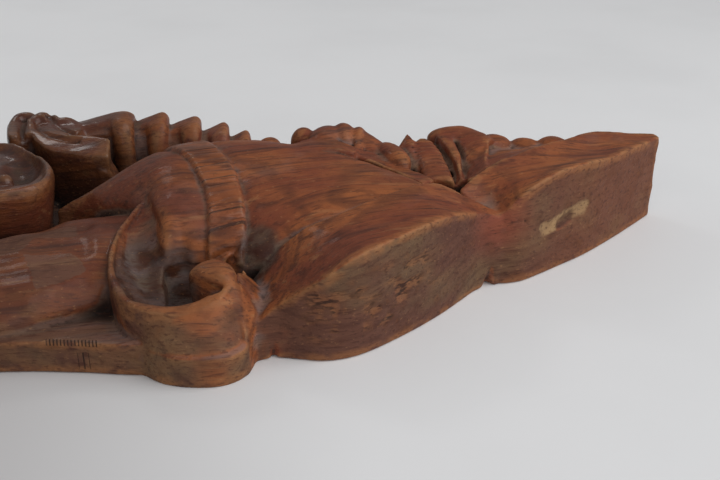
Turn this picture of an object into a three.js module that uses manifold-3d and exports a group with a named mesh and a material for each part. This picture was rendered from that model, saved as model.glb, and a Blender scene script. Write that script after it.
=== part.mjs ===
// Carved hardwood wall panel, laid on its back: a deep relief cut from one thick plank. A domed body crossed by a
// strap stands over an open loop that ends in a knob, with a smooth limb, a scroll, ribbons and a row of teeth to
// its left and far side, and overlapping leaves that run out to a blunt tip at either end.
// Millimetres, +Z out of the carved face, +X towards the leaf tip, origin on the flat back.
import * as THREE from 'three';
import * as BufferGeometryUtils from 'three/addons/utils/BufferGeometryUtils.js';
import Module from 'manifold-3d';

// ---------------------------------------------------------------- driving dimensions
const PANEL_LENGTH = 1000;     // tip to tip
const GROUND = 27;             // thickness of the background board under the carving
const ROOT = 6;                // carved forms are rooted this high inside the ground board
const POCKET = 10;             // height of the deepest hollows over the flat back
const SPINE = 64;              // height of the wood left standing between the leaves
const DOME_TOP = 101;          // crest of the strapped body
const LEAF_TOP = 96;           // highest edge of the big leaves
const STRAP_WIDTH = 33;        // strap over the domed body, measured along the body
const STRAP_RAISE = 2.5;       // strap stands this proud of the body
const TOOTH_DEPTH = 42;        // teeth of the far edge, from that edge towards the body
const TOOTH_RISE = 15;         // how far a tooth's top climbs from left to right
const BASE_LOBE = 24;          // height of the round foot under the loop
const HALF = PANEL_LENGTH / 2;

const wasm = await Module();
wasm.setup();

// ---------------------------------------------------------------- shaping tools
const vec = (p) => new THREE.Vector3(p[0], p[1], p[2] ?? 0);
const curve = (points) => new THREE.CatmullRomCurve3(points.map(vec), false, 'centripetal');
const mix = (a, b, t) => a + (b - a) * t;

// A closed geometry as a solid: only positions are kept, and shared corners are welded.
function solid(geometry) {
  const bare = geometry.clone();
  bare.deleteAttribute('normal');
  bare.deleteAttribute('uv');
  const welded = BufferGeometryUtils.mergeVertices(bare, 1e-4);
  return new wasm.Manifold(new wasm.Mesh({
    numProp: 3,
    vertProperties: new Float32Array(welded.attributes.position.array),
    triVerts: new Uint32Array(welded.index.array),
  }));
}

// Bends a unit box: shape(s, t) gives the top point for s along and t across, floor the height of its underside.
function bentBlock(lengthSteps, sideSteps, shape, floor) {
  const box = new THREE.BoxGeometry(1, 1, 1, lengthSteps, sideSteps, 1);
  const place = box.attributes.position;
  for (let i = 0; i < place.count; i++) {
    const top = shape(place.getX(i) + 0.5, place.getY(i) + 0.5);
    place.setXYZ(i, top.x, top.y, place.getZ(i) > 0 ? top.z : floor);
  }
  return solid(box);
}

// Quarter of a superellipse from 0 to 1: roundness 1 is a straight slope, 2 an ellipse, more is fuller.
const quarter = (u, roundness) => (1 - (1 - u) ** roundness) ** (1 / roundness);

// Top point of a swelling form, s along it and t from its near rail over the crest rail to its far rail.
function swellPoint({ near, crest, far, roundNear = 2, roundFar = 2 }, s, t) {
  const onNearSide = t <= 0.5;
  const edge = (onNearSide ? near : far).getPoint(s);
  const ridge = crest.getPoint(s);
  const u = onNearSide ? t * 2 : 2 - t * 2;
  const rise = quarter(u, onNearSide ? roundNear : roundFar);
  return new THREE.Vector3(mix(edge.x, ridge.x, u), mix(edge.y, ridge.y, u), mix(edge.z, ridge.z, rise));
}

// A swelling form between a near rail and a far rail, with its ridge along the crest rail.
function swell({ near, crest, far, steps = 8, sides = 6, floor = ROOT, ...rounds }) {
  const rails = { near: curve(near), crest: curve(crest), far: curve(far), ...rounds };
  return bentBlock(steps, sides, (s, t) => swellPoint(rails, s, t), floor);
}

// A leaf: a sheet of top surface between its outer edge and its rib, dished by the given depth.
function leaf({ outer, rib, dish = 0, steps = 12, sides = 3, floor = 0 }) {
  const [a, b] = [outer, rib].map(curve);
  return bentBlock(steps, sides, (s, t) => {
    const p = a.getPoint(s).lerp(b.getPoint(s), t);
    p.z -= dish * Math.sin(Math.PI * t) * Math.sin(Math.PI * s);
    return p;
  }, floor);
}

// A ribbon standing on edge along a path of [x, y, top, width].
function ribbon(path, steps = 24, floor = ROOT) {
  const line = curve(path);
  const widths = curve(path.map((p, i) => [i, p[3], 0]));
  return bentBlock(steps, 1, (s, t) => {
    const along = line.getTangent(s);
    const side = new THREE.Vector3(-along.y, along.x, 0).normalize();
    return line.getPoint(s).addScaledVector(side, (t - 0.5) * widths.getPoint(s).y);
  }, floor);
}

// A round body whose plan is an outline about a centre: its profile lists [fraction of the outline, height].
function roundel(centre, outline, profile, sides) {
  const lathe = new THREE.LatheGeometry(profile.map(([r, z]) => new THREE.Vector2(r, z)), sides);
  lathe.rotateX(Math.PI / 2);
  const place = lathe.attributes.position;
  for (let i = 0; i < place.count; i++) {
    const [x, y] = [place.getX(i), place.getY(i)];
    const rim = outline(Math.atan2(y, x));
    const r = Math.hypot(x, y);
    place.setXY(i, centre[0] + r * rim[0], centre[1] + r * rim[1]);
  }
  return solid(lathe);
}

// A low rounded boss of elliptic plan, its long side turned by the given degrees.
function mound({ x, y, long, wide, top, shoulder = top - 14, turn = 0, sides = 12 }) {
  const angle = THREE.MathUtils.degToRad(turn);
  const dome = [1, 0.87, 0.5, 0].map((r) => [r, mix(shoulder, top, Math.sqrt(1 - r * r))]);
  return roundel([x, y], (a) => {
    const [u, v] = [long * Math.cos(a), wide * Math.sin(a)];
    return [u * Math.cos(angle) - v * Math.sin(angle), u * Math.sin(angle) + v * Math.cos(angle)];
  }, [[0, 0], [1, 0], ...dome], sides);
}

const smoothLoop = (points, count) => new THREE.CatmullRomCurve3(points.map(vec), true, 'centripetal')
  .getPoints(count).slice(0, -1).map((p) => [p.x, p.y]);

// A flat board cut to an outline.
function board(outline, low, high) {
  const shape = new THREE.Shape(outline.map(([x, y]) => new THREE.Vector2(x, y)));
  return solid(new THREE.ExtrudeGeometry(shape, { depth: high - low, bevelEnabled: false }).translate(0, 0, low));
}

const join = (pieces) => pieces.reduce((whole, piece) => whole.add(piece));

// Rails of the right-hand leaves, carried over to the left end: x runs the other way and is stretched to fit.
const mirrored = (rail, start, stretch) => rail.map(([x, y, z]) => [-(start + stretch * x), y, z]).reverse();

// ---------------------------------------------------------------- ground board and the wood between the leaves
function groundBoard() {
  const nearSide = [
    [480, -8], [394, -62], [344, -86], [306, -92], [290, -88], [274, -100], [213, -141], [176, -159],
    [140, -166], [112, -160], [94, -146], [40, -150], [2, -157], [-49, -144], [-86, -134], [-126, -128],
    [-148, -140], [-200, -156], [-250, -138], [-302, -98], [-315, -87], [-330, -92], [-370, -82],
    [-430, -46], [-484, -8],
  ];
  const farSide = [
    [-478, 8], [-410, 30], [-330, 68], [-280, 106], [-230, 142], [-165, 176], [-105, 188], [-60, 184],
    [0, 172], [50, 166], [95, 148], [130, 122], [158, 84], [186, 70], [216, 60], [262, 46], [312, 46],
    [352, 44], [400, 28], [440, 20], [480, 10],
  ];
  return board(smoothLoop([...nearSide, ...farSide], 130), 0, GROUND).subtract(hollows());
}

// Hollows cut deep into the ground: behind the body, inside the loop, and beside the knob.
function hollows() {
  const pockets = [
    [[-66, 36], [-30, 56], [0, 66], [30, 84], [0, 108], [-40, 118], [-66, 126], [-60, 90]],
    [[16, -104], [24, -84], [50, -84], [56, -112], [40, -146], [22, -136]],
    [[80, -120], [94, -110], [90, -94], [78, -96]],
  ];
  return join(pockets.map((outline) => board(smoothLoop(outline, 18), POCKET, GROUND + 1)));
}

function spine() {
  const right = [
    [130, -96], [170, -126], [250, -104], [291, -88], [320, -80], [380, -50], [470, -4], [400, 20], [330, 38],
    [270, 40],
    [232, 48], [184, 66], [150, 80],
  ];
  const left = mirrored(right.map(([x, y]) => [x, y, 0]), 50, 0.86);
  return join([right, left].map((outline) => board(smoothLoop(outline, 40), ROOT, SPINE)));
}

// ---------------------------------------------------------------- the strapped, domed body
const bodyRails = {
  near: curve([
    [-64, 26, 48], [-45, 14, 52], [-16, 0, 58], [-2, -20, 62], [2, -48, 60], [8, -74, 54], [20, -84, 50],
    [36, -82, 49], [58, -88, 48], [84, -98, 46], [104, -102, 56], [140, -100, 74], [180, -92, 84],
    [220, -78, 88], [252, -66, 86],
  ]),
  crest: curve([
    [-66, 32, 53], [-44, 37, 65], [-25, 36, 75], [-8, 37, 83], [8, 38, 90], [20, 40, 94], [34, 38, 97],
    [50, 34, 99], [70, 30, 100], [92, 26, DOME_TOP], [116, 22, DOME_TOP], [146, 12, 100], [182, -4, 98],
    [218, -26, 95], [254, -62, 90],
  ]),
  far: curve([
    [-66, 38, 42], [-46, 50, 46], [-26, 53, 52], [-8, 58, 60], [8, 62, 64], [22, 68, 68], [38, 76, 70],
    [56, 84, 72], [76, 90, 72], [98, 92, 72], [122, 90, 72], [152, 74, 74], [188, 44, 76], [222, 8, 78],
    [256, -56, 80],
  ]),
  roundNear: 1.75,
};
const STRAP_AT = 0.6;          // place of the strap along the body's rails
const BODY_RUN = 360;          // length of those rails

function strappedBody() {
  const body = bentBlock(28, 12, (s, t) => swellPoint(bodyRails, s, t), ROOT);
  const strap = bentBlock(2, 14, (s, t) => {
    const p = swellPoint(bodyRails, STRAP_AT + (s - 0.5) * (STRAP_WIDTH / BODY_RUN), t);
    p.z += STRAP_RAISE;
    return p;
  }, ROOT);
  return join([body, strap]);
}

// ---------------------------------------------------------------- loop, bowl, knob and round foot
function loop() {
  const foot = smoothLoop([
    [-2, -156], [8, -174], [28, -185], [52, -189], [69, -181], [77, -162], [68, -140], [12, -136],
  ], 24);
  const wall = ribbon([
    [8, -10, 72, 5], [-5, -33, 70, 5], [-14, -58, 67, 5], [-19, -80, 64, 6], [-20, -103, 61, 7],
    [-16, -124, 59, 9], [-7, -144, 57, 10], [6, -159, 55, 12], [23, -168, 52, 14], [40, -171, 51, 15],
    [55, -165, 53, 16], [66, -153, 58, 18], [70, -138, 63, 19], [65, -124, 67, 20], [54, -119, 67, 18],
    [47, -126, 65, 15],
  ], 30);
  const bowl = leaf({
    outer: [[4, -10, 70], [-8, -36, 66], [-16, -62, 63], [-20, -84, 59], [-19, -104, 55], [-14, -124, 50],
      [-4, -144, 44], [14, -160, 36], [34, -166, 30]],
    rib: [[14, -14, 70], [10, -34, 66], [8, -56, 60], [10, -74, 54], [16, -88, 48], [18, -100, 36],
      [20, -112, 26], [28, -126, 18], [38, -138, 14]],
    dish: 5, steps: 14, sides: 4, floor: ROOT,
  });
  const web = leaf({
    outer: [[62, -172, 36], [76, -162, 33], [88, -153, 31], [98, -144, 32]],
    rib: [[72, -154, 57], [79, -142, 60], [80, -128, 58], [88, -112, 44]],
    steps: 6, sides: 2,
  });
  return join([board(foot, 0, BASE_LOBE), wall, bowl, web]);
}

// ---------------------------------------------------------------- smooth limb, scroll, curl and ribbon
function limb() {
  return swell({
    near: [[-230, -84, 38], [-190, -104, 38], [-150, -120, 36], [-102, -124, 36], [-66, -117, 36],
      [-34, -104, 36], [-18, -96, 34]],
    crest: [[-230, -36, 62], [-190, -48, 66], [-150, -60, 64], [-102, -58, 62], [-66, -52, 61],
      [-30, -46, 60], [-10, -44, 58]],
    far: [[-225, 0, 44], [-190, -2, 44], [-150, -10, 44], [-102, -12, 44], [-66, -4, 46], [-24, 4, 52],
      [4, 2, 58]],
    roundNear: 2.1, steps: 12, sides: 8,
  });
}

function scroll() {
  const outline = curve([[64, 0], [60, 34], [38, 58], [8, 66], [-30, 56], [-50, 20], [-48, -24], [-26, -54],
    [10, -62], [38, -54], [58, -34], [64, 0]]);
  const turnOf = (a) => ((a / (2 * Math.PI)) + 1) % 1;
  return roundel([-118, 76], (a) => {
    const p = outline.getPoint(turnOf(a));
    return [p.x, p.y];
  }, [[0, ROOT], [1, ROOT], [1, 81], [0.95, 85], [0.83, 85], [0.62, 74], [0.3, 70], [0, 72]], 26);
}

function curl() {
  const heart = board(smoothLoop([[-104, 150], [-102, 186], [-76, 190], [-48, 172], [-34, 146], [-60, 134]], 18),
    0, 80);
  const rim = ribbon([
    [-104, 150, 82, 10], [-106, 176, 86, 11], [-97, 190, 94, 12], [-80, 187, 96, 13], [-64, 184, 97, 14],
    [-50, 172, 95, 14], [-40, 155, 90, 12], [-36, 146, 84, 8],
  ], 14, 0);
  const front = ribbon([
    [-90, 182, 92, 9], [-88, 165, 90, 10], [-82, 148, 88, 12], [-66, 138, 87, 14], [-44, 134, 86, 17],
    [-24, 128, 86, 20], [-8, 116, 84, 22],
  ], 14);
  return join([heart, rim, front]);
}

// ---------------------------------------------------------------- teeth along the far edge
// One tooth: its top climbs from left to right and ends in a steep face; its near end is rounded down to the ground.
function tooth({ x, y, top, width, lean = -0.12 }) {
  const heel = 5;
  return bentBlock(4, 7, (s, t) => {
    const along = (s - 1) * width;
    const back = (1 - t) * TOOTH_DEPTH;
    const shoulder = s > 0.9 ? 2 : 0;
    const rise = top - TOOTH_RISE * (1 - s) ** 1.4 - shoulder;
    const front = quarter(Math.min(1, t * 1.6), 2.2);
    const drop = t > 0.8 ? heel * ((t - 0.8) / 0.2) : 0;
    return new THREE.Vector3(x + along + lean * back, y - along * 0.2 - back, mix(top - 45, rise, front) - drop);
  }, 0);
}

const teeth = [
  { x: 14, y: 174, top: 95, width: 62 },
  { x: 47, y: 171, top: 93, width: 34 },
  { x: 79, y: 159, top: 90, width: 34 },
  { x: 106, y: 148, top: 86, width: 30 },
  { x: 126, y: 133, top: 81, width: 26 },
];

// The left half repeats the row, plainer, one tooth to each 34 mm along its own falling edge.
function teethRow() {
  const left = [0, 1, 2, 3, 4].map((i) => ({
    x: -132 - 30 * i, y: 180 - 11 * i - i * i, top: 92 - 2 * i, width: 32, lean: 0.12,
  }));
  return join([...teeth, ...left].map(tooth));
}

// ---------------------------------------------------------------- small leaves between the body and the tip
function farLeaves() {
  return join([
    mound({ x: 140, y: 110, long: 12, wide: 16, top: 78, turn: -50, sides: 10 }),
    mound({ x: 154, y: 90, long: 11, wide: 15, top: 76, turn: -40, sides: 10 }),
    mound({ x: 168, y: 70, long: 12, wide: 14, top: 98 }),
    mound({ x: 193, y: 58, long: 17, wide: 12, top: 102, turn: -6 }),
    mound({ x: 214, y: 50, long: 8, wide: 14, top: 102, sides: 10 }),
    swell({
      near: [[218, 36, 84], [232, 16, 76], [244, -8, 72]],
      crest: [[222, 54, 98], [236, 34, 88], [250, 2, 80]],
      far: [[232, 60, 80], [244, 44, 76], [256, 12, 72]],
      steps: 4, sides: 4, floor: 0,
    }),
    mound({ x: 242, y: 36, long: 11, wide: 15, top: 88, turn: -20, sides: 10 }),
    swell({ // pointed leaf
      near: [[246, 34, 74], [248, 14, 72], [256, -12, 70]],
      crest: [[256, 36, 95], [259, 16, 86], [262, -10, 74]],
      far: [[266, 32, 74], [268, 12, 72], [268, -10, 70]],
      roundNear: 1, roundFar: 1, steps: 3, sides: 4, floor: 0,
    }),
    swell({ // ribbed leaf
      near: [[263, 35, 80], [256, 5, 78], [251, -32, 74]],
      crest: [[273, 37, 88], [268, 0, 84], [262, -38, 78]],
      far: [[284, 26, 80], [280, -5, 76], [274, -46, 74]],
      steps: 4, sides: 4, floor: 0,
    }),
    swell({ // rolled rim of the curled leaf
      near: [[284, 28, 80], [284, 7, 76], [280, -42, 72]],
      crest: [[293, 38, 92], [293, 8, 86], [287, -40, 78]],
      far: [[304, 38, 84], [303, 6, 76], [293, -42, 72]],
      steps: 5, sides: 4, floor: 0,
    }),
    mound({ x: 310, y: 36, long: 22, wide: 13, top: 96, turn: -8 }),
    leaf({ // its open face
      outer: [[306, 30, 82], [303, 6, 74], [292, -44, 72]],
      rib: [[331, 30, 90], [327, 8, 92], [306, -52, 94]],
      steps: 5, sides: 3, floor: ROOT,
    }),
    ...[[345, 31, 88], [374, 24, 84], [400, 17, 86]].map(([x, y, top]) => mound({
      x, y, long: 18, wide: 19, top, turn: -15, sides: 10,
    })),
    ...[[-300, 72, 86], [-330, 52, 85], [-360, 37, 84], [-392, 25, 84]].map(([x, y, top]) => mound({
      x, y, long: 22, wide: 20, top, turn: 30, sides: 10,
    })),
  ]);
}

// ---------------------------------------------------------------- big leaves
const nearLeaf = {
  outer: [[90, -150, 30], [100, -158, 40], [112, -171, 60], [130, -177, 76], [155, -176, 87], [194, -159, 90],
    [235, -135, 88], [260, -116, 82], [279, -101, 74], [291, -89, 65]],
  rib: [[88, -98, 34], [99, -101, 50], [112, -102, 66], [134, -102, 80], [160, -99, 87], [195, -89, 92],
    [227, -76, 94], [252, -69, 91], [274, -81, 80], [293, -87, 66]],
};
const tipLeaf = {
  outer: [[291, -90, 62], [302, -97, 69], [322, -98, 87], [344, -90, 93], [369, -79, 95], [394, -68, 94],
    [423, -52, 90], [454, -33, 87], [480, -14, 83], [HALF - 1, 3, 80]],
  rib: [[270, -73, 84], [287, -60, 90], [306, -51, 94], [328, -39, LEAF_TOP], [356, -25, LEAF_TOP],
    [399, -2, 93], [425, 12, 90], [447, 17, 87], [475, 14, 84], [HALF, 10, 81]],
};
const tipFar = {
  outer: [[298, -58, 88], [328, -42, 94], [356, -28, 94], [399, -5, 91], [438, 11, 86]],
  rib: [[308, 12, 82], [338, 18, 80], [370, 20, 78], [404, 18, 80], [440, 20, 84]],
};

function bigLeaves() {
  const copyLeft = ({ outer, rib }, start, stretch) => ({
    outer: mirrored(outer, start, stretch), rib: mirrored(rib, start, stretch),
  });
  return join([
    leaf({ ...nearLeaf, dish: 2 }),
    leaf({ ...tipLeaf, dish: 5 }),
    leaf({ ...tipFar, steps: 5, floor: ROOT }),
    leaf({ ...copyLeft(nearLeaf, 75, 0.83), steps: 9 }),
    leaf({ ...copyLeft(tipLeaf, 66, 0.868), dish: 5, steps: 9 }),
    leaf({ ...copyLeft(tipFar, 66, 0.868), steps: 4, floor: ROOT }),
  ]);
}

// The plain swelling body of the left half.
function leftBody() {
  return swell({
    near: [[-306, -66, 74], [-260, -84, 74], [-210, -96, 66], [-160, -106, 50], [-128, -104, 44]],
    crest: [[-312, -60, 90], [-262, -28, 94], [-216, -6, 92], [-170, -14, 82], [-128, -40, 64]],
    far: [[-316, -50, 78], [-280, 34, 72], [-232, 84, 62], [-190, 70, 50], [-150, 6, 44]],
    steps: 9, sides: 8,
  });
}

// ---------------------------------------------------------------- assembly
const relief = join([
  groundBoard(), spine(), strappedBody(), loop(), limb(), scroll(), curl(), teethRow(), farLeaves(), bigLeaves(),
  leftBody(),
]);
const carved = relief.getMesh();
const geometry = new THREE.BufferGeometry();
geometry.setAttribute('position', new THREE.BufferAttribute(new Float32Array(carved.vertProperties), 3));
geometry.setIndex(new THREE.BufferAttribute(new Uint32Array(carved.triVerts), 1));

const wood = new THREE.MeshStandardMaterial({ color: 0x6b3420, roughness: 0.4, metalness: 0 });
const panel = new THREE.Mesh(geometry, wood);
panel.name = 'carved_panel';
const group = new THREE.Group();
group.add(panel);
export default group;
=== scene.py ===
"""Carved hardwood wall panel: its fine carved surface and its varnished, dusty finish.

The panel is one piece of wood. Its forms are set out as rails and outlines in millimetres, in the frame's
axes, and are joined and cut as distance fields, so that they run into each other with small worn fillets. The
strap, tool marks, chips and cracks follow, and one closed mesh comes out. Where dust lies, where edges are
worn, where the saw left the wood raw and which deep hollows get painted shade is measured on the carved form,
and the finish reads it.
"""
from __future__ import annotations

import logging
import math
from dataclasses import dataclass
from enum import Enum
from typing import Callable, Protocol, Sequence

import bmesh
import bpy
import numpy as np
import openvdb
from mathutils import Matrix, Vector


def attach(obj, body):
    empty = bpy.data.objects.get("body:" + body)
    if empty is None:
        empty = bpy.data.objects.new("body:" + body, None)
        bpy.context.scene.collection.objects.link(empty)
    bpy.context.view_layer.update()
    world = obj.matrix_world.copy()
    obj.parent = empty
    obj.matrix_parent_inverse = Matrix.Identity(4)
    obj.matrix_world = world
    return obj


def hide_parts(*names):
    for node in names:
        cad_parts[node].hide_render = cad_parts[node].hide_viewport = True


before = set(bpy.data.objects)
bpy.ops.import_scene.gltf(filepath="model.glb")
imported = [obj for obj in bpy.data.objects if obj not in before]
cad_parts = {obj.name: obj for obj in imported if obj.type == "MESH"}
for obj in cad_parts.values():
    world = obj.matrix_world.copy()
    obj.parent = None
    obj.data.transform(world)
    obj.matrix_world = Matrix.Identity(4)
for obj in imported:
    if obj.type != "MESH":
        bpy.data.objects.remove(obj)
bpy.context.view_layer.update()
logging.basicConfig(level=logging.INFO, format="%(name)s: %(message)s")
log = logging.getLogger("carved_panel")

Points = np.ndarray
Solid = tuple[np.ndarray, np.ndarray]
Line = Sequence[Sequence[float]]          # rows of x, y and, where wanted, z and further values
Corner = tuple[float, float, float]
Colour = tuple[float, float, float, float]
Tint = Colour | bpy.types.NodeSocket

# ------------------------------------------------------------------ driving sizes, in millimetres
MM = 0.001                               # a millimetre in scene units
VOXEL = 1.5       # grid of the distance fields
BAND = 6                                 # voxels of distance kept on each side of a surface
GROUND = 27.0                            # thickness of the background board
ROOT = 6.0                               # forms are rooted this high inside the ground
POCKET = 10.0                            # floor of the deepest hollows
SPINE = 64.0                             # wood left standing between the leaves
STRAP_RAISE = 2.2                        # strap over the body's surface
STRAP_GROOVE = 2.6                       # depth of the groove on each side of the strap
FOOT = 24.0                              # round foot under the loop
TOOTH_DEPTH = 42.0                       # teeth, from the far edge inwards
TOOTH_RISE = 12.0                        # climb of a tooth's top from left to right
TRIANGLES = 194_000                      # most triangles of the finished piece
BLOCK = ((-504, -196, 0), (506, 208, 106))      # corners of the block that holds the carving
WORKED = ((-510, -200, -5), (510, 210, 115))    # corners of the region that a tool reaches
SKIN = 4.5                               # a tool changes the distances this near the surface
EDGE_BALL = 4.5                          # reach of the soft ball that finds edges and small hollows
HOLLOW_BALL = 15.0                       # reach of the one that finds deep hollows
ABOVE = 60.0                             # cutters reach this far above their mouth
OPEN_AIR = 34.0                          # a face is on the outside if no wood stands this far in front of it


# ------------------------------------------------------------------ curves
class Rail:
    """A smooth line through a few points; further columns, such as a width, ride along."""

    def __init__(self, points: Line, closed: bool = False) -> None:
        """Works out the cubic piece between each pair of points.

        Args:
            points: rows of x, y and, where wanted, z and further values.
            closed: whether the line returns to its start.
        """
        p = np.array(points, float)
        if closed:
            p = np.vstack([p[-1], p, p[0], p[1]])
        else:
            p = np.vstack([2 * p[0] - p[1], p, 2 * p[-1] - p[-2]])
        gap = np.maximum(np.linalg.norm(np.diff(p[:, :3], axis=0), axis=1) ** 0.5, 1e-4)[:, None]
        p0, p1, p2, p3 = p[:-3], p[1:-2], p[2:-1], p[3:]
        g0, g1, g2 = gap[:-2], gap[1:-1], gap[2:]
        t1 = ((p1 - p0) / g0 - (p2 - p0) / (g0 + g1) + (p2 - p1) / g1) * g1
        t2 = ((p2 - p1) / g1 - (p3 - p1) / (g1 + g2) + (p3 - p2) / g2) * g1
        self.parts = np.stack([p1, t1, -3 * p1 + 3 * p2 - 2 * t1 - t2, 2 * p1 - 2 * p2 + t1 + t2])

    def at(self, t: float | np.ndarray) -> Points:
        """Points at fractions of the line, counted evenly from point to point.

        Args:
            t: fractions from 0 to 1.

        Returns:
            One row for each fraction.
        """
        count = self.parts.shape[1]
        where = np.atleast_1d(np.asarray(t, float)) * count
        piece = np.clip(where.astype(int), 0, count - 1)
        w = (where - piece)[:, None]
        c0, c1, c2, c3 = self.parts[:, piece]
        return c0 + w * (c1 + w * (c2 + w * c3))

    def side(self, t: np.ndarray) -> Points:
        """Unit vectors in plan that point to the left of the line.

        Args:
            t: fractions from 0 to 1.

        Returns:
            One vector for each fraction.
        """
        ahead = self.at(np.minimum(t + 1e-3, 1.0))[:, :2] - self.at(np.maximum(t - 1e-3, 0.0))[:, :2]
        turned = np.stack([-ahead[:, 1], ahead[:, 0]], 1)
        return turned / np.maximum(np.linalg.norm(turned, axis=1), 1e-9)[:, None]


def quarter(u: np.ndarray, roundness: float) -> np.ndarray:
    """Quarter of a superellipse, 0 to 1: roundness 1 is a straight slope, 2 an ellipse, more is fuller."""
    return (1 - (1 - np.clip(u, 0, 1)) ** roundness) ** (1 / roundness)


# ------------------------------------------------------------------ closed solids
def block(top: Points, floor: float) -> Solid:
    """A closed solid under a grid of top points, with upright walls down to a flat underside.

    Args:
        top: grid of points, rows by columns by x, y, z.
        floor: height of the underside.

    Returns:
        Its vertices and its quads.
    """
    rows, columns = top.shape[:2]
    under = top.copy()
    under[..., 2] = floor
    index = np.arange(rows * columns).reshape(rows, columns)
    shift = rows * columns
    face = np.stack([index[:-1, :-1], index[1:, :-1], index[1:, 1:], index[:-1, 1:]], -1).reshape(-1, 4)
    rim = np.concatenate([index[:, 0], index[-1, 1:], index[-2::-1, -1], index[0, -2:0:-1]])
    after = np.roll(rim, -1)
    wall = np.stack([rim, after, after + shift, rim + shift], -1)
    quads = np.concatenate([face, face[:, ::-1] + shift, wall])
    return np.concatenate([top.reshape(-1, 3), under.reshape(-1, 3)]), quads


def rings(layers: Sequence[Points]) -> Solid:
    """A closed solid through a stack of equal rings; the first and last close on their centres.

    Args:
        layers: the rings, from one end to the other.

    Returns:
        Its vertices and its quads.
    """
    count = len(layers[0])
    stack = [np.repeat(layers[0].mean(0)[None], count, 0), *layers,
             np.repeat(layers[-1].mean(0)[None], count, 0)]
    index = np.arange(len(stack) * count).reshape(len(stack), count)
    after = np.roll(index, -1, 1)
    quads = np.stack([index[:-1], after[:-1], after[1:], index[1:]], -1).reshape(-1, 4)
    return np.concatenate(stack), quads


class Form(Protocol):
    """Anything with a closed solid that can be joined to the wood or cut out of it."""

    def solid(self) -> Solid:
        """The closed solid."""


@dataclass(frozen=True)
class Swell:
    """A swelling form between a near and a far rail, with its ridge along the crest rail."""

    near: Line
    crest: Line
    far: Line
    round_near: float = 2.0
    round_far: float = 2.0
    floor: float = ROOT
    raise_by: float = 0.0
    span: tuple[float, float] = (0.0, 1.0)

    def solid(self) -> Solid:
        """The closed solid of the form.

        Returns:
            Its vertices and its faces.
        """
        s = np.linspace(*self.span, max(24, int(160 * (self.span[1] - self.span[0]))))
        near, crest, far = (Rail(r).at(s)[:, None, :] for r in (self.near, self.crest, self.far))
        sweep = 1 - np.cos(np.linspace(0, math.pi / 2, 28))
        u = np.sort(1 - sweep)[None, :]
        halves = []
        for edge, roundness in ((near, self.round_near), (far, self.round_far)):
            plan = edge + (crest - edge) * u[..., None]
            plan[..., 2] = edge[..., 2] + (crest[..., 2] - edge[..., 2]) * quarter(u,
                                                                                   roundness) + self.raise_by
            halves.append(plan)
        return block(np.concatenate([halves[0], halves[1][:, -2::-1]], 1), self.floor)


@dataclass(frozen=True)
class Leaf:
    """A sheet of top surface between an outer edge and a rib, dished by a depth."""

    outer: Line
    rib: Line
    dish: float = 0.0
    floor: float = 0.0
    bulge: float = 0.0

    def solid(self) -> Solid:
        """The closed solid of the leaf.

        Returns:
            Its vertices and its faces.
        """
        s = np.linspace(0, 1, 150)
        t = np.linspace(0, 1, 40)[None, :, None]
        outer, rib = (Rail(r).at(s)[:, None, :] for r in (self.outer, self.rib))
        top = outer + (rib - outer) * t
        sag = np.sin(math.pi * t[..., 0]) * np.sin(math.pi * s[:, None])
        top[..., 2] -= self.dish * sag
        top[..., 2] += self.bulge * np.sin(math.pi * t[..., 0] ** 0.7) * np.sin(math.pi * s[:, None])
        return block(top, self.floor)


@dataclass(frozen=True)
class Ribbon:
    """A ribbon on edge along a path of x, y, top and width, its top crowned and its ends rounded in plan."""

    path: Line
    crown: float = 2.0
    floor: float = ROOT
    round_start: bool = False
    round_end: bool = False

    def solid(self) -> Solid:
        """The closed solid of the ribbon.

        Returns:
            Its vertices and its faces.
        """
        line = Rail(self.path)
        s = np.linspace(0, 1, 220)
        t = np.linspace(-1, 1, 15)
        centre = line.at(s)
        length = np.concatenate([[0], np.cumsum(np.linalg.norm(np.diff(centre[:, :2], axis=0), axis=1))])
        half = centre[:, 3] / 2
        if self.round_start:
            half = half * np.sqrt(np.clip(1 - (1 - length / half[0]).clip(0) ** 2, 0.02, 1))
        if self.round_end:
            half = half * np.sqrt(np.clip(1 - (1 - (length[-1] - length) / half[-1]).clip(0) ** 2, 0.02, 1))
        across = line.side(s)[:, None, :] * (half[:, None] * t[None, :])[..., None]
        top = np.empty((len(s), len(t), 3))
        top[..., :2] = centre[:, None, :2] + across
        top[..., 2] = centre[:, None, 2] - self.crown * (1 - np.sqrt(1 - 0.98 * t[None, :] ** 2))
        return block(top, self.floor)


@dataclass(frozen=True)
class Roundel:
    """A round body: its outline in plan, and a profile of shares of that outline and their heights."""

    centre: tuple[float, float]
    outline: Line
    profile: Sequence[tuple[float, float]]
    smooth: bool = True

    def solid(self) -> Solid:
        """The closed solid of the body.

        Returns:
            Its vertices and its faces.
        """
        loop = Rail(self.outline, closed=True).at(np.linspace(0, 1, 97)[:-1])
        steps = self.profile
        if self.smooth:
            steps = Rail([[r * 60, z] for r, z in self.profile]).at(np.linspace(0, 1, 60)) / (60, 1)
        layers = []
        for share, height in steps:
            ring = np.empty((len(loop), 3))
            ring[:, :2] = np.array(self.centre) + loop[:, :2] * max(share, 0.0)
            ring[:, 2] = height
            layers.append(ring)
        return rings(layers)


def ellipse(long: float, wide: float, turn: float, count: int = 48) -> Points:
    """Points in plan round an ellipse about the origin, its long side turned by some degrees.

    Args:
        long: half of its length.
        wide: half of its width.
        turn: turn in degrees.
        count: how many points.

    Returns:
        One row for each point.
    """
    a = np.linspace(0, 2 * math.pi, count + 1)[:-1]
    u, v = long * np.cos(a), wide * np.sin(a)
    c, s = math.cos(math.radians(turn)), math.sin(math.radians(turn))
    return np.stack([u * c - v * s, u * s + v * c], 1)


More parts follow.
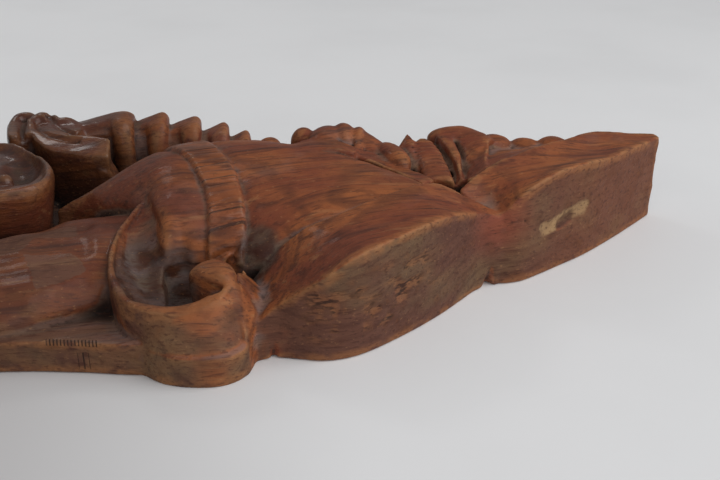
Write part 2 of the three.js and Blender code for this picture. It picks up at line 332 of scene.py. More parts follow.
@dataclass(frozen=True)
class Mound:
    """A rounded boss of elliptic plan, its long side turned by some degrees."""

    x: float
    y: float
    long: float
    wide: float
    top: float
    turn: float = 0.0
    fall: float = 14.0

    def solid(self) -> Solid:
        """The closed solid of the boss.

        Returns:
            Its vertices and its faces.
        """
        plan = ellipse(self.long, self.wide, self.turn)
        layers = [np.column_stack([plan + (self.x, self.y), np.zeros(len(plan))])]
        for lift in np.linspace(0, 1, 12):
            height = np.full(len(plan), self.top - self.fall * (1 - lift))
            share = math.sqrt(1 - min(lift, 0.999) ** 2)
            layers.append(np.column_stack([plan * share + (self.x, self.y), height]))
        return rings(layers)


@dataclass(frozen=True)
class Pit:
    """A bowl-shaped cutter of elliptic plan, open at the top."""

    x: float
    y: float
    long: float
    wide: float
    bottom: float
    turn: float = 0.0
    rise: float = 16.0

    def solid(self) -> Solid:
        """The closed solid of the cutter.

        Returns:
            Its vertices and its faces.
        """
        plan = ellipse(self.long, self.wide, self.turn)
        layers = []
        for lift in np.linspace(0.01, 1, 14):
            height = np.full(len(plan), self.bottom + self.rise * lift)
            share = math.sqrt(1 - (1 - lift) ** 2)
            layers.append(np.column_stack([plan * share + (self.x, self.y), height]))
        layers.append(layers[-1] + (0, 0, ABOVE))
        return rings(layers)


@dataclass(frozen=True)
class Board:
    """A flat board cut to a smooth outline."""

    outline: Line
    low: float
    high: float

    def solid(self) -> Solid:
        """The closed solid of the board, its faces cut into triangles that follow the outline.

        Returns:
            Its vertices and its faces.
        """
        loop = Rail(self.outline, closed=True).at(np.linspace(0, 1, 10 * len(self.outline) + 1)[:-1])[:, :2]
        mesh = bmesh.new()
        for height in (self.low, self.high):
            face = mesh.faces.new([mesh.verts.new((x, y, height)) for x, y in loop])
            if height == self.low:
                face.normal_flip()
        mesh.verts.ensure_lookup_table()
        count = len(loop)
        for i in range(count):
            j = (i + 1) % count
            mesh.faces.new([mesh.verts[i], mesh.verts[j], mesh.verts[j + count], mesh.verts[i + count]])
        bmesh.ops.triangulate(mesh, faces=mesh.faces[:])
        mesh.verts.index_update()
        points = np.array([v.co[:] for v in mesh.verts])
        faces = np.array([[v.index for v in f.verts] for f in mesh.faces])
        mesh.free()
        return points, faces


@dataclass(frozen=True)
class Flute:
    """A round groove between two points."""

    start: Corner
    end: Corner
    radius: float

    def solid(self) -> Solid:
        """The closed solid of the cutter.

        Returns:
            Its vertices and its faces.
        """
        a, b = Vector(self.start), Vector(self.end)
        turn = (b - a).to_track_quat("Z", "Y")
        ring = [turn @ Vector((math.cos(t), math.sin(t), 0)) for t in np.linspace(0, 2 * math.pi, 17)[:-1]]
        layers = [np.array([a.lerp(b, s) + v * self.radius * math.sin(math.pi * (0.08 + 0.84 * s)) ** 0.5
                            for v in ring]) for s in np.linspace(0, 1, 16)]
        return rings(layers)


@dataclass(frozen=True)
class Gutter:
    """A groove along a path in plan, cut down from a height."""

    path: Line
    bottom: float
    half_width: float
    fall: float = 0.0

    def solid(self) -> Solid:
        """The closed solid of the cutter: a ribbon with a rounded underside, reaching above the wood.

        Returns:
            Its vertices and its faces.
        """
        line = Rail(self.path)
        s = np.linspace(0, 1, 60)
        t = np.linspace(-1, 1, 13)
        centre = line.at(s)
        across = line.side(s)[:, None, :] * (self.half_width * t[None, :])[..., None]
        under = np.empty((len(s), len(t), 3))
        under[..., :2] = centre[:, None, :2] + across
        under[..., 2] = self.bottom - self.fall * s[:, None] - 4 * np.sqrt(1 - 0.97 * t[None, :] ** 2)
        points, quads = block(under * (1, 1, -1), -130)
        return points * (1, 1, -1), quads[:, ::-1]


# ------------------------------------------------------------------ values over space
def blended(values: np.ndarray, low: Points, share: Points) -> np.ndarray:
    """Values of a repeating grid, blended from each low cell and the seven above it by the shares between.

    Args:
        values: the grid.
        low: the low cell of each place.
        share: how far each place is past its low cell.

    Returns:
        One value for each place.
    """
    total = np.zeros(len(low))
    for corner in np.ndindex(2, 2, 2):
        weight = np.prod(np.where(corner, share, 1 - share), 1)
        total += weight * values[tuple(((low + corner) % values.shape).T)]
    return total


@dataclass(frozen=True)
class Grain:
    """Smooth random values from -1 to 1 over space, the same on every run."""

    seed: int
    cell: Corner
    size: int = 24

    def at(self, points: Points) -> np.ndarray:
        """Values at points in millimetres.

        Args:
            points: places in millimetres.

        Returns:
            One value for each point.
        """
        lattice = np.random.default_rng(self.seed).uniform(-1, 1, (self.size,) * 3)
        where = points / np.array(self.cell)
        low = np.floor(where).astype(int)
        return blended(lattice, low, smooth(where - low, 0, 1))


@dataclass(frozen=True)
class Scoops:
    """Shallow scoops of a gouge side by side over the plan, with soft ridges between them."""

    seed: int
    cell: tuple[float, float]
    size: int = 32

    def at(self, points: Points) -> np.ndarray:
        """Depth of the scoop at points, from 0 on the ridges to 1 in the middle of a scoop."""
        return 1 - np.minimum(self.nearest(points)[0] / 0.5, 1)

    def tone(self, points: Points) -> np.ndarray:
        """A random value from 0 to 1 for the scoop that each point is in."""
        return np.random.default_rng(self.seed + 100).uniform(0, 1, self.size ** 2)[self.nearest(points)[1]]

    def nearest(self, points: Points) -> tuple[np.ndarray, np.ndarray]:
        """Squared distance to the nearest scoop's middle, in cells, and that scoop's number.

        Args:
            points: places in millimetres.

        Returns:
            Both values for each point.
        """
        jitter = np.random.default_rng(self.seed).uniform(0.1, 0.9, (self.size, self.size, 2))
        where = points[:, :2] / np.array(self.cell)
        base = np.floor(where).astype(int)
        nearest = np.full(len(points), 9.0)
        number = np.zeros(len(points), int)
        for step in np.ndindex(3, 3):
            cell = base + np.array(step) - 1
            centre = cell + jitter[tuple((cell % self.size).T)]
            distance = ((where - centre) ** 2).sum(1)
            closer = distance < nearest
            nearest[closer] = distance[closer]
            number[closer] = (cell[closer] % self.size) @ (1, self.size)
        return nearest, number


def smooth(value: np.ndarray, low: float, high: float) -> np.ndarray:
    """Rises smoothly from 0 at low to 1 at high."""
    share = np.clip((value - low) / (high - low), 0, 1)
    return share * share * (3 - 2 * share)


def near_line(points: Points, start: Sequence[float], end: Sequence[float]) -> np.ndarray:
    """Distance of points from the stretch between two points.

    Args:
        points: places in millimetres.
        start: one end of the stretch.
        end: its other end.

    Returns:
        One distance for each point.
    """
    a, b = np.array(start, float), np.array(end, float)
    share = np.clip((points - a) @ (b - a) / ((b - a) @ (b - a)), 0, 1)
    return np.linalg.norm(points - a - share[:, None] * (b - a), axis=1)


# ------------------------------------------------------------------ the block of wood as a distance field
class Carving:
    """The wood as a grid of signed distances in millimetres: below zero inside, above zero outside."""

    def __init__(self, low: Sequence[float], high: Sequence[float]) -> None:
        """Sets up an empty grid.

        Args:
            low: lowest corner that the grid has to hold.
            high: highest corner.
        """
        margin = BAND + 2
        self.start = np.floor(np.array(low) / VOXEL).astype(int) - margin
        self.stop = np.ceil(np.array(high) / VOXEL).astype(int) + margin
        self.far_off = BAND * VOXEL
        self.grid = np.full(self.stop - self.start, self.far_off, np.float32)
        self.space = openvdb.createLinearTransform(voxelSize=VOXEL)

    def _field(self, solid: Solid) -> tuple[tuple[slice, ...], np.ndarray]:
        """The part of the grid that a solid reaches, and the distances to the solid there.

        Args:
            solid: vertices and faces.

        Returns:
            The slices of the grid, and the distances in them.
        """
        points, faces = solid
        kind = "triangles" if faces.shape[1] == 3 else "quads"
        shape = openvdb.FloatGrid.createLevelSetFromPolygons(
            points.astype(np.float32), transform=self.space, halfWidth=float(BAND),
            **{kind: faces.astype(np.uint32)})
        low = np.maximum(np.floor(points.min(0) / VOXEL).astype(int) - BAND - 1, self.start)
        high = np.minimum(np.ceil(points.max(0) / VOXEL).astype(int) + BAND + 2, self.stop)
        local = np.empty(high - low, np.float32)
        shape.copyToArray(local, ijk=tuple(int(i) for i in low))
        return tuple(slice(a, b) for a, b in zip(low - self.start, high - self.start)), local

    def add(self, form: Form, fillet: float = 2.0) -> None:
        """Joins a form to the wood, with a fillet of about the given size where they meet.

        Args:
            form: what is joined.
            fillet: size of the fillet.
        """
        where, local = self._field(form.solid())
        wood = self.grid[where]
        overlap = np.maximum(fillet - np.abs(wood - local), 0) / max(fillet, 1e-6)
        self.grid[where] = np.minimum(wood, local) - overlap * overlap * fillet / 4

    def cut(self, form: Form, round_edge: float = 1.5) -> None:
        """Cuts a form out of the wood, its edges rounded by about the given size.

        Args:
            form: what is cut out.
            round_edge: how far the edge is rounded.
        """
        where, local = self._field(form.solid())
        wood, tool = self.grid[where], -local
        overlap = np.maximum(round_edge - np.abs(wood - tool), 0) / max(round_edge, 1e-6)
        self.grid[where] = np.maximum(wood, tool) + overlap * overlap * round_edge / 4

    def height(self, x: np.ndarray, y: np.ndarray) -> np.ndarray:
        """Height of the wood's top surface over points in plan.

        Args:
            x: places along the panel.
            y: places across it.

        Returns:
            The height of the highest crossing into the wood at each point.
        """
        i = np.clip(np.round(np.asarray(x) / VOXEL).astype(int) - self.start[0], 0, self.grid.shape[0] - 1)
        j = np.clip(np.round(np.asarray(y) / VOXEL).astype(int) - self.start[1], 0, self.grid.shape[1] - 1)
        column = self.grid[i, j]
        top = column.shape[-1] - 1 - np.argmax(column[..., ::-1] < 0, -1)
        inside = np.take_along_axis(column, top[..., None], -1)[..., 0]
        outside = np.take_along_axis(column, np.minimum(top + 1, column.shape[-1] - 1)[..., None], -1)[..., 0]
        return (top + self.start[2] + inside / (inside - outside - 1e-6)) * VOXEL

    def soften(self) -> None:
        """Wears every edge a little by averaging each distance with its neighbours."""
        for axis in range(3):
            ahead = np.roll(self.grid, -1, axis)
            behind = np.roll(self.grid, 1, axis)
            self.grid = (self.grid * 2 + ahead + behind) / 4

    def work(self, tool: Callable[[Points], np.ndarray], low: Sequence[float] = WORKED[0],
             high: Sequence[float] = WORKED[1]) -> None:
        """Takes wood off near the surface, or leaves it proud.

        Args:
            tool: gives the depth to take off at each point, in millimetres; below zero leaves wood proud.
            low: lowest corner of the region that is worked.
            high: its highest corner.
        """
        first = np.clip(np.floor(np.array(low) / VOXEL).astype(int) - self.start, 0, self.grid.shape)
        last = np.clip(np.ceil(np.array(high) / VOXEL).astype(int) - self.start, 0, self.grid.shape)
        region = self.grid[tuple(slice(a, b) for a, b in zip(first, last))]
        at = np.nonzero(np.abs(region) < SKIN)
        points = (np.stack(at, 1) + first + self.start) * VOXEL
        region[at] += tool(points.astype(np.float32)).astype(np.float32)

    def around(self, radius: float) -> Callable[[Points], np.ndarray]:
        """Share of wood in a soft ball about a point: half on a flat face, more in a hollow, less on an edge.

        Args:
            radius: reach of the ball, in millimetres.

        Returns:
            A function from points to shares.
        """
        wood = np.clip(0.5 - self.grid / VOXEL, 0, 1)
        trim = tuple(slice(0, n // 2 * 2) for n in wood.shape)
        nx, ny, nz = (n // 2 for n in wood.shape)
        wood = wood[trim].reshape(nx, 2, ny, 2, nz, 2).mean((1, 3, 5))
        reach = max(1, round(radius / (2 * VOXEL)))
        for _ in range(3):
            for axis in range(3):
                pad = [(reach + 1, reach) if a == axis else (0, 0) for a in range(3)]
                total = np.cumsum(np.pad(wood, pad, mode="edge"), axis, dtype=np.float64)
                count = wood.shape[axis]
                ahead = np.take(total, range(2 * reach + 1, 2 * reach + 1 + count), axis)
                wood = ((ahead - np.take(total, range(count), axis)) / (2 * reach + 1)).astype(np.float32)

        def share(points: Points) -> np.ndarray:
            """Shares at points, blended from the eight nearest cells.

            Args:
                points: places in millimetres.

            Returns:
                One share for each point.
            """
            where = (points / VOXEL - self.start - 0.5) / 2
            low = np.clip(np.floor(where).astype(int), 0, np.array(wood.shape) - 2)
            return blended(wood, low, np.clip(where - low, 0, 1))

        return share

    def surface(self) -> tuple[Points, np.ndarray]:
        """The wood's surface as points and quads.

        Returns:
            Points in millimetres, and quads.
        """
        shape = openvdb.FloatGrid(self.far_off)
        shape.transform = self.space
        shape.copyFromArray(self.grid, ijk=tuple(int(i) for i in self.start))
        return shape.convertToQuads(0.0)


# ------------------------------------------------------------------ the carved forms
def mirrored(rail: Line, start: float, stretch: float) -> list[list[float]]:
    """A rail of the right half carried over to the left end, stretched to fit there."""
    return [[-(start + stretch * x), *rest] for x, *rest in rail][::-1]


@dataclass
class Ground:
    """The background board, with its deep hollows, and the wood left standing between the leaves."""

    outline: Line = (
        (480, -8), (394, -62), (344, -86), (306, -92), (290, -88), (274, -100), (213, -141), (176, -159),
        (140, -166), (112, -160), (94, -146), (40, -150), (8, -162), (-49, -145), (-86, -134), (-126, -128),
        (-148, -140), (-200, -156), (-250, -138), (-302, -98), (-315, -87), (-330, -92), (-370, -82),
        (-430, -46), (-484, -8), (-478, 8), (-410, 30), (-330, 68), (-280, 106), (-230, 142), (-165, 176),
        (-105, 188), (-60, 184), (0, 172), (50, 166), (95, 148), (130, 122), (158, 84), (186, 70), (216, 60),
        (262, 46), (312, 46), (352, 44), (400, 28), (440, 20), (480, 10))
    spine: Line = (
        (130, -96), (170, -126), (250, -104), (291, -88), (320, -80), (380, -50), (470, -4), (400, 20),
        (330, 38), (270, 40), (232, 48), (184, 66), (150, 80))
    pockets: Sequence[Line] = (
        ((-66, 36), (-30, 56), (0, 66), (30, 84), (0, 108), (-40, 118), (-66, 126), (-60, 90)),
        ((16, -104), (24, -84), (50, -84), (56, -112), (40, -146), (22, -136)),
        ((80, -120), (94, -110), (90, -94), (78, -96)))

    def carve(self, wood: Carving) -> None:
        """Adds the board, cuts its hollows and adds the spine at both ends.

        Args:
            wood: the block that is carved.
        """
        wood.add(Board(self.outline, 0, GROUND))
        for pocket in self.pockets:
            wood.cut(Board(pocket, POCKET, GROUND + 20), 3)
        wood.add(Board(self.spine, ROOT, SPINE), 4)
        left = [p[:2] for p in mirrored([[x, y] for x, y in self.spine], 50, 0.86)]
        wood.add(Board(left, ROOT, SPINE), 4)


@dataclass
class StrappedBody:
    """The big domed body with its pointed left end; the strap is worked on its surface afterwards."""

    near: Line = (
        (-64, 46, 48), (-50, 42, 51), (-38, 33, 54), (-24, 21, 58), (-9, 8, 62), (6, -6, 66), (16, -22, 66),
        (18, -48, 62), (18, -72, 54), (22, -84, 50), (36, -82, 49), (58, -88, 48), (84, -98, 46),
        (104, -102, 56), (140, -100, 74), (180, -92, 84), (214, -81, 88), (240, -73, 88))
    crest: Line = (
        (-64, 47, 52), (-50, 45, 58), (-38, 42, 64), (-22, 38, 74), (-4, 38, 84), (12, 40, 91), (28, 40, 96),
        (46, 36, 99), (66, 31, 100), (90, 27, 101), (116, 22, 101), (146, 10, 100), (180, -8, 98),
        (210, -36, 94), (240, -68, 89))
    far: Line = (
        (-64, 49, 42), (-50, 51, 44), (-38, 53, 48), (-22, 56, 52), (-6, 60, 60), (10, 63, 64), (24, 69, 68),
        (40, 77, 70), (58, 85, 72), (78, 90, 72), (98, 90, 73), (122, 80, 75), (150, 56, 78), (182, 24, 80),
        (212, -10, 82), (242, -60, 84))
    skirt: Line = ((140, 34, 96), (150, 20, 99), (166, 11, 100), (184, 8, 98.5), (200, 3, 96))
    skirt_back: Line = ((158, 50, 92), (164, 48, 95), (176, 44, 97), (190, 38, 97), (208, 22, 93))

    def carve(self, wood: Carving) -> None:
        """Adds the body, and the layer that laps over its far right side."""
        wood.add(Swell(self.near, self.crest, self.far, round_near=1.75), 3)
        wood.add(Leaf(self.skirt, self.skirt_back, floor=SPINE, bulge=1), 0.8)


@dataclass(frozen=True)
class Strap:
    """The strap over the body: its two edges, as places along the panel at places across it."""

    across: Sequence[float] = (-116, -91, -84, -73, -50, -35, -12, 20, 52, 92)
    left: Sequence[float] = (52, 54, 55, 58, 62, 62, 59, 54, 42, 18)
    right: Sequence[float] = (82, 84, 87, 89, 91, 91, 90, 84, 79, 62)
    length: tuple[float, float] = (-116.0, 78.0)

    def span(self, y: np.ndarray) -> tuple[np.ndarray, np.ndarray]:
        """Left and right edge at places across the panel."""
        return np.interp(y, self.across, self.left), np.interp(y, self.across, self.right)

    def cover(self, points: Points) -> np.ndarray:
        """How far each point is inside the strap's nearer edge, in millimetres; below zero is outside.

        Args:
            points: places in millimetres.

        Returns:
            One distance for each point.
        """
        left, right = self.span(points[:, 1])
        inside = np.minimum(points[:, 0] - left, right - points[:, 0])
        ends = np.minimum(points[:, 1] - self.length[0], self.length[1] - points[:, 1])
        return np.where((points[:, 2] > 47) & (ends > 0), inside, -30.0)

    def carve(self, wood: Carving) -> None:
        """Leaves the strap proud between two grooves, then cuts its cross ribs.

        Args:
            wood: the block that is carved.
        """
        def tool(points: Points) -> np.ndarray:
            """Depth taken off at each point.

            Args:
                points: places in millimetres.

            Returns:
                One depth for each point.
            """
            inside = self.cover(points)
            groove = STRAP_GROOVE * np.clip(1 - np.abs(inside + 1.6) / 2.6, 0, 1)
            proud = STRAP_RAISE * np.clip((inside + 0.4) / 2.0, 0, 1) * np.where(inside > 0, 1, 0)
            slope = 1.1 * np.clip(1 - np.abs(inside + 5.5) / 5.0, 0, 1)
            return groove + slope - proud

        wood.work(tool, (10, -120, 44), (100, 84, 108))
        wood.cut(CrossRibs(self, wood.height), 1.2)


@dataclass(frozen=True)
class CrossRibs:
    """Grooves across the strap, set out by a node tree along the middle of the strap."""

    strap: Strap
    height: Callable[[np.ndarray, np.ndarray], np.ndarray]
    count: int = 16
    width: float = 30.0
    opening: float = 2.4
    depth: float = 5.0
    inset: float = 3.0
    reach: tuple[float, float] = (-94.0, 26.0)
    seed: int = 4

    def solid(self) -> Solid:
        """The closed solids of all the cutters.

        Returns:
            Vertices and faces of all of them.
        """
        y = np.linspace(*self.reach, 60)
        left, right = self.strap.span(y)
        edges = [np.stack([x, y, self.height(x, y)], 1) for x in (left + self.inset, right - self.inset)]
        path = bpy.data.meshes.new("strap_middle")
        path.from_pydata(((edges[0] + edges[1]) / 2).tolist(), [(i, i + 1) for i in range(len(y) - 1)], [])
        across = path.attributes.new("across", "FLOAT_VECTOR", "POINT")
        across.data.foreach_set("vector", (edges[1] - edges[0]).astype(np.float32).ravel())
        thing = bpy.data.objects.new("strap_middle", path)
        bpy.context.scene.collection.objects.link(thing)
        tree = self.tree()
        modifier = thing.modifiers.new("ribs", "NODES")
        modifier.node_group = tree
        values = {"Count": self.count, "Width": self.width, "Opening": self.opening, "Depth": self.depth}
        for item in tree.interface.items_tree:
            if item.name in values:
                modifier[item.identifier] = values[item.name]
        evaluated = thing.evaluated_get(bpy.context.evaluated_depsgraph_get())
        mesh = bpy.data.meshes.new_from_object(evaluated)
        points = np.empty(len(mesh.vertices) * 3, np.float32)
        mesh.vertices.foreach_get("co", points)
        faces = np.array([p.vertices[:] for p in mesh.polygons])
        bpy.data.objects.remove(thing)
        bpy.data.node_groups.remove(tree)
        return points.reshape(-1, 3), faces

    def tree(self) -> bpy.types.NodeTree:
        """The node tree: a thin bar at points along the line, square to it, each a little different.

        Returns:
            The tree, with its sizes as named inputs.
        """
        nodes = Nodes(bpy.data.node_groups.new("cross_ribs", "GeometryNodeTree"))
        face = nodes.tree.interface
        face.new_socket("Geometry", in_out="INPUT", socket_type="NodeSocketGeometry")
        face.new_socket("Count", in_out="INPUT", socket_type="NodeSocketInt")
        for name in ("Width", "Opening", "Depth"):
            face.new_socket(name, in_out="INPUT", socket_type="NodeSocketFloat")
        face.new_socket("Geometry", in_out="OUTPUT", socket_type="NodeSocketGeometry")
        given = nodes.add("NodeGroupInput").outputs
        line = nodes.add("GeometryNodeMeshToCurve", {}, {"Mesh": given["Geometry"]})
        along = nodes.add("GeometryNodeCurveToPoints", {"mode": "COUNT"},
                          {"Curve": line.outputs["Curve"], "Count": given["Count"]})
        size = nodes.add("ShaderNodeCombineXYZ", {},
                         {"X": given["Width"], "Y": given["Opening"], "Z": given["Depth"]})
        bar = nodes.add("GeometryNodeMeshCube", {}, {"Size": size.outputs[0]})
        across = nodes.add("GeometryNodeInputNamedAttribute", {"data_type": "FLOAT_VECTOR"},
                           {"Name": "across"})
        level = nodes.add("FunctionNodeAlignRotationToVector", {"axis": "X"}, {"Vector": across.outputs[0]})
        turn = nodes.add("FunctionNodeAlignRotationToVector", {"axis": "Y", "pivot_axis": "X"},
                         {"Rotation": level.outputs["Rotation"], "Vector": along.outputs["Tangent"]})
        vary = nodes.add("FunctionNodeRandomValue", {"data_type": "FLOAT_VECTOR"},
                         {0: (0.9, 0.8, 0.6), 1: (1.02, 1.15, 1.1), "Seed": self.seed})
        placed = nodes.add("GeometryNodeInstanceOnPoints", {}, {
            "Points": along.outputs["Points"], "Instance": bar.outputs["Mesh"],
            "Rotation": turn.outputs["Rotation"], "Scale": vary.outputs[0]})
        drift = nodes.add("FunctionNodeRandomValue", {"data_type": "FLOAT_VECTOR"},
                          {0: (-0.8, -2.4, -0.1), 1: (0.8, 2.4, 0.8), "Seed": self.seed + 1})
        moved = nodes.add("GeometryNodeTranslateInstances", {}, {
            "Instances": placed.outputs["Instances"], "Translation": drift.outputs[0]})
        real = nodes.add("GeometryNodeRealizeInstances", {}, {"Geometry": moved.outputs["Instances"]})
        dressed = nodes.add("GeometryNodeSetMaterial", {}, {"Geometry": real.outputs["Geometry"]})
        nodes.add("NodeGroupOutput", {}, {"Geometry": dressed.outputs["Geometry"]})
        return nodes.tree


@dataclass
class Loop:
    """The open loop in front of the body: round foot, ribbon wall with its curled knob, bowl and side web."""

    foot: Line = (
        (2, -150), (-2, -160), (8, -174), (28, -185), (52, -189), (69, -181), (77, -162), (68, -140),
        (12, -136))
    wall: Line = (
        (12, -8, 75, 4.5), (1, -27, 73, 5), (-10, -49, 69.5, 5), (-17, -77, 66.5, 5.5), (-19, -104, 63.5, 6),
        (-16, -126, 60.5, 6.5), (-10, -143, 58, 7), (1, -154, 56, 8), (14, -160, 55, 9), (30, -162, 55, 10),
        (45, -160, 57, 13), (55, -153, 61, 14), (61, -144, 65, 16), (61, -134, 67, 17), (56, -128, 68, 18))
    knob: Line = (
        (-19, 2), (-15, 10), (-7, 16), (3, 18), (12, 12), (16, 1), (15, -11), (7, -18))
    slit: Line = (
        (34, -131), (44, -139), (54, -147), (59, -150), (55, -154), (46, -153), (34, -155), (26, -146),
        (26, -134))
    hole: Line = (
        (24, -92), (34, -86), (50, -82), (52, -96), (46, -118), (36, -130), (36, -147), (28, -148),
        (20, -128), (20, -106))

    def carve(self, wood: Carving) -> None:
        """Adds the foot, the leaning wall, the bowl, the web and the ribbon, then opens the hole.

        Args:
            wood: the block that is carved.
        """
        wood.add(Board(self.foot, 0, FOOT), 3)
        wood.add(Leaf(
            outer=((-24, -98, 26), (-18, -124, 25), (-6, -150, 22), (8, -172, 19), (28, -183, 19),
                   (50, -187, 19), (66, -180, 19), (74, -166, 20), (76, -150, 22)),
            rib=((-20, -98, 60), (-18, -124, 57), (-9, -148, 54), (6, -160, 53), (28, -168, 53),
                 (48, -166, 55), (60, -158, 59), (68, -148, 62), (69, -138, 64)),
            floor=0, bulge=5), 3)
        wood.add(Leaf(
            outer=((10, -10, 70), (-1, -30, 66), (-10, -52, 61), (-16, -80, 57), (-17, -104, 53),
                   (-13, -124, 49), (-5, -144, 45), (10, -154, 40), (28, -158, 34)),
            rib=((34, -8, 88), (30, -34, 84), (26, -56, 74), (24, -72, 60), (22, -86, 50), (20, -100, 42),
                 (21, -114, 34), (24, -128, 26), (30, -140, 20)),
            dish=9, floor=ROOT), 2.5)
        wood.add(Leaf(
            outer=((70, -178, 30), (78, -166, 33), (88, -158, 35), (98, -148, 40)),
            rib=((66, -152, 62), (72, -142, 64), (72, -128, 64), (84, -110, 46)), dish=-2), 3)
        wood.add(Ribbon(self.wall, crown=2.2), 1.5)
        wood.add(Roundel((55, -132), self.knob, (
            (0, POCKET), (0.9, POCKET), (1, 20), (1, 52), (0.98, 60), (0.88, 65.5), (0.6, 68.5),
            (0, 69.5))), 2)
        wood.cut(Board(self.slit, POCKET + 4, 90), 1.5)
        wood.cut(Board(self.hole, POCKET, 46), 4)
        for start, end in (((74, -136), (88, -160)), ((82, -124), (94, -150))):
            wood.cut(Flute((*start, 62), (*end, 36), 2.4), 2)


@dataclass
class Limb:
    """The smooth limb that runs from under the loop to the left."""

    near: Line = (
        (-230, -84, 38), (-190, -104, 38), (-150, -120, 36), (-102, -124, 36), (-66, -117, 36),
        (-34, -108, 36), (-12, -100, 35))
    crest: Line = (
        (-230, -30, 62), (-190, -38, 67), (-150, -46, 67), (-102, -48, 66), (-66, -40, 66), (-30, -40, 65),
        (-4, -40, 64))
    far: Line = (
        (-225, 0, 44), (-190, -2, 44), (-150, -4, 46), (-102, -4, 48), (-66, 6, 46), (-45, 20, 47),
        (-24, 17, 51), (2, 2, 60))

    def carve(self, wood: Carving) -> None:
        """Adds the limb."""
        wood.add(Swell(self.near, self.crest, self.far, round_near=2.1, round_far=1.6), 1.5)


@dataclass
class Scroll:
    """The round scroll end on the left, with a raised rim, a sloping dish and a small eye."""

    centre: tuple[float, float] = (-118, 76)
    outline: Line = (
        (57, -22), (53, 4), (43, 25), (27, 50), (6, 66), (-30, 56), (-50, 20), (-48, -24), (-26, -54),
        (0, -64), (23, -63), (41, -58), (53, -45))

    def carve(self, wood: Carving) -> None:
        """Adds the drum, then hollows its face towards the right.

        Args:
            wood: the block that is carved.
        """
        wood.add(Roundel(self.centre, self.outline, (
            (0, ROOT), (0.82, ROOT), (0.88, 30), (0.96, 60), (1, 76), (0.99, 83), (0.945, 87), (0.90, 85.5),
            (0.82, 80), (0.5, 77), (0.2, 76), (0, 76))), 2)
        wood.cut(Pit(-91, 80, 18, 31, 66, 8, rise=17), 4)
        wood.add(Mound(-103, 62, 8, 9, 83, 30, fall=9), 3)


@dataclass
class Curl:
    """The folded curl on the far side, and the ribbon that leaves it and ends square over the deep hollow."""

    heart: Line = (
        (-102, 148), (-102, 186), (-78, 190), (-52, 176), (-36, 150), (-58, 136), (-80, 150))
    folds: Sequence[Gutter] = (
        Gutter(((-91, 192), (-92, 176), (-92, 158), (-90, 146)), 92, 3.0, 8),
        Gutter(((-78, 176), (-75, 158), (-66, 143), (-52, 131), (-38, 124)), 92, 2.6, 6),
        Gutter(((-68, 190), (-62, 172), (-54, 156), (-44, 142)), 95, 3.2, 8))

    def carve(self, wood: Carving) -> None:
        """Adds the core, the three rolled lobes and the sloping ribbon, and cuts the folds between them.

        Args:
            wood: the block that is carved.
        """
        wood.add(Board(self.heart, 0, 89), 3)
        wood.add(Ribbon((
            (-101, 148, 80, 9), (-102, 170, 85, 10), (-101, 188, 90, 11), (-95, 200, 94, 12),
            (-86, 199, 94, 12), (-80, 190, 90, 9)), crown=5, floor=0), 2)
        wood.add(Ribbon((
            (-82, 172, 90, 9), (-80, 184, 95, 13), (-72, 188, 97.5, 16), (-63, 181, 96, 14),
            (-59, 172, 91, 9)), crown=6, floor=0), 3)
        wood.add(Ribbon((
            (-64, 164, 89, 8), (-59, 174, 92, 11), (-50, 176, 93.5, 14), (-42, 168, 91, 14),
            (-38, 157, 88, 12), (-38, 147, 83, 9)), crown=5, floor=0), 3)
        wood.add(Leaf(
            outer=((-88, 180, 94), (-86, 160, 91), (-79, 140, 87), (-67, 121, 83), (-53, 113, 81),
                   (-33, 102, 80), (-13, 95, 80)),
            rib=((-84, 184, 95), (-74, 164, 93), (-68, 149, 92), (-56, 139, 91), (-44, 135, 91),
                 (-31, 131, 91), (-10, 116, 90)), dish=1.5, floor=ROOT), 1.5)
        wood.add(Leaf(
            outer=((-24, 98, 66), (-13, 95, 60), (-4, 100, 46)),
            rib=((-24, 118, 70), (-10, 116, 66), (-2, 112, 48)), floor=ROOT), 3)
        for fold in self.folds:
            wood.cut(fold, 2.5)


@dataclass(frozen=True)
class Tooth:
    """One tooth of the far edge: a thumb at the right end of a flat facet that climbs to it."""

    x: float
    y: float
    top: float
    width: float
    lean: float = -0.12
    thumb: float = 21.0

    def solid(self) -> Solid:
        """The closed solid of the tooth.

        Returns:
            Its vertices and its faces.
        """
        s = np.linspace(0, 1, 48)[:, None]
        t = np.linspace(0, 1, 60)[None, :]
        along = (s - 1) * self.width
        bulge = self.thumb / 2 * np.sqrt(np.clip(1 - (2 * along / self.thumb + 1) ** 2, 0, 1))
        back = (1 - t) * (TOOTH_DEPTH - 6 + bulge)
        climb = np.clip((0.8 - s) / 0.8, 0, 1)
        rise = self.top - TOOTH_RISE * climb ** 1.15 - 5 * np.clip((s - 0.84) / 0.16, 0, 1) ** 2
        front = quarter(np.minimum(1, t * 2.1), 2.8)
        drop = 5 * np.clip((t - 0.82) / 0.18, 0, 1) ** 2
        top = np.empty((*np.broadcast_shapes(s.shape, t.shape), 3))
        top[..., 0] = self.x + along + self.lean * back
        top[..., 1] = self.y - along * 0.2 - back
        top[..., 2] = self.top - 50 + (rise - self.top + 50) * front - drop
        return block(top, 0)


@dataclass
class TeethRow:
    """The row of teeth along the far edge, and a plainer row on the left half."""

    places: Sequence[tuple[float, float, float, float]] = (
        (17, 174, 98, 62), (50, 171, 95, 36), (81, 159, 92, 36), (107, 148, 87, 32), (126, 133, 82, 28))

    def carve(self, wood: Carving) -> None:
        """Adds every tooth.

        Args:
            wood: the block that is carved.
        """
        for x, y, top, width in self.places:
            wood.add(Tooth(x, y, top, width), 2)
        for i in range(5):
            wood.add(Tooth(-132 - 30 * i, 180 - 11 * i - i * i, 92 - 2 * i, 32, lean=0.12), 2)


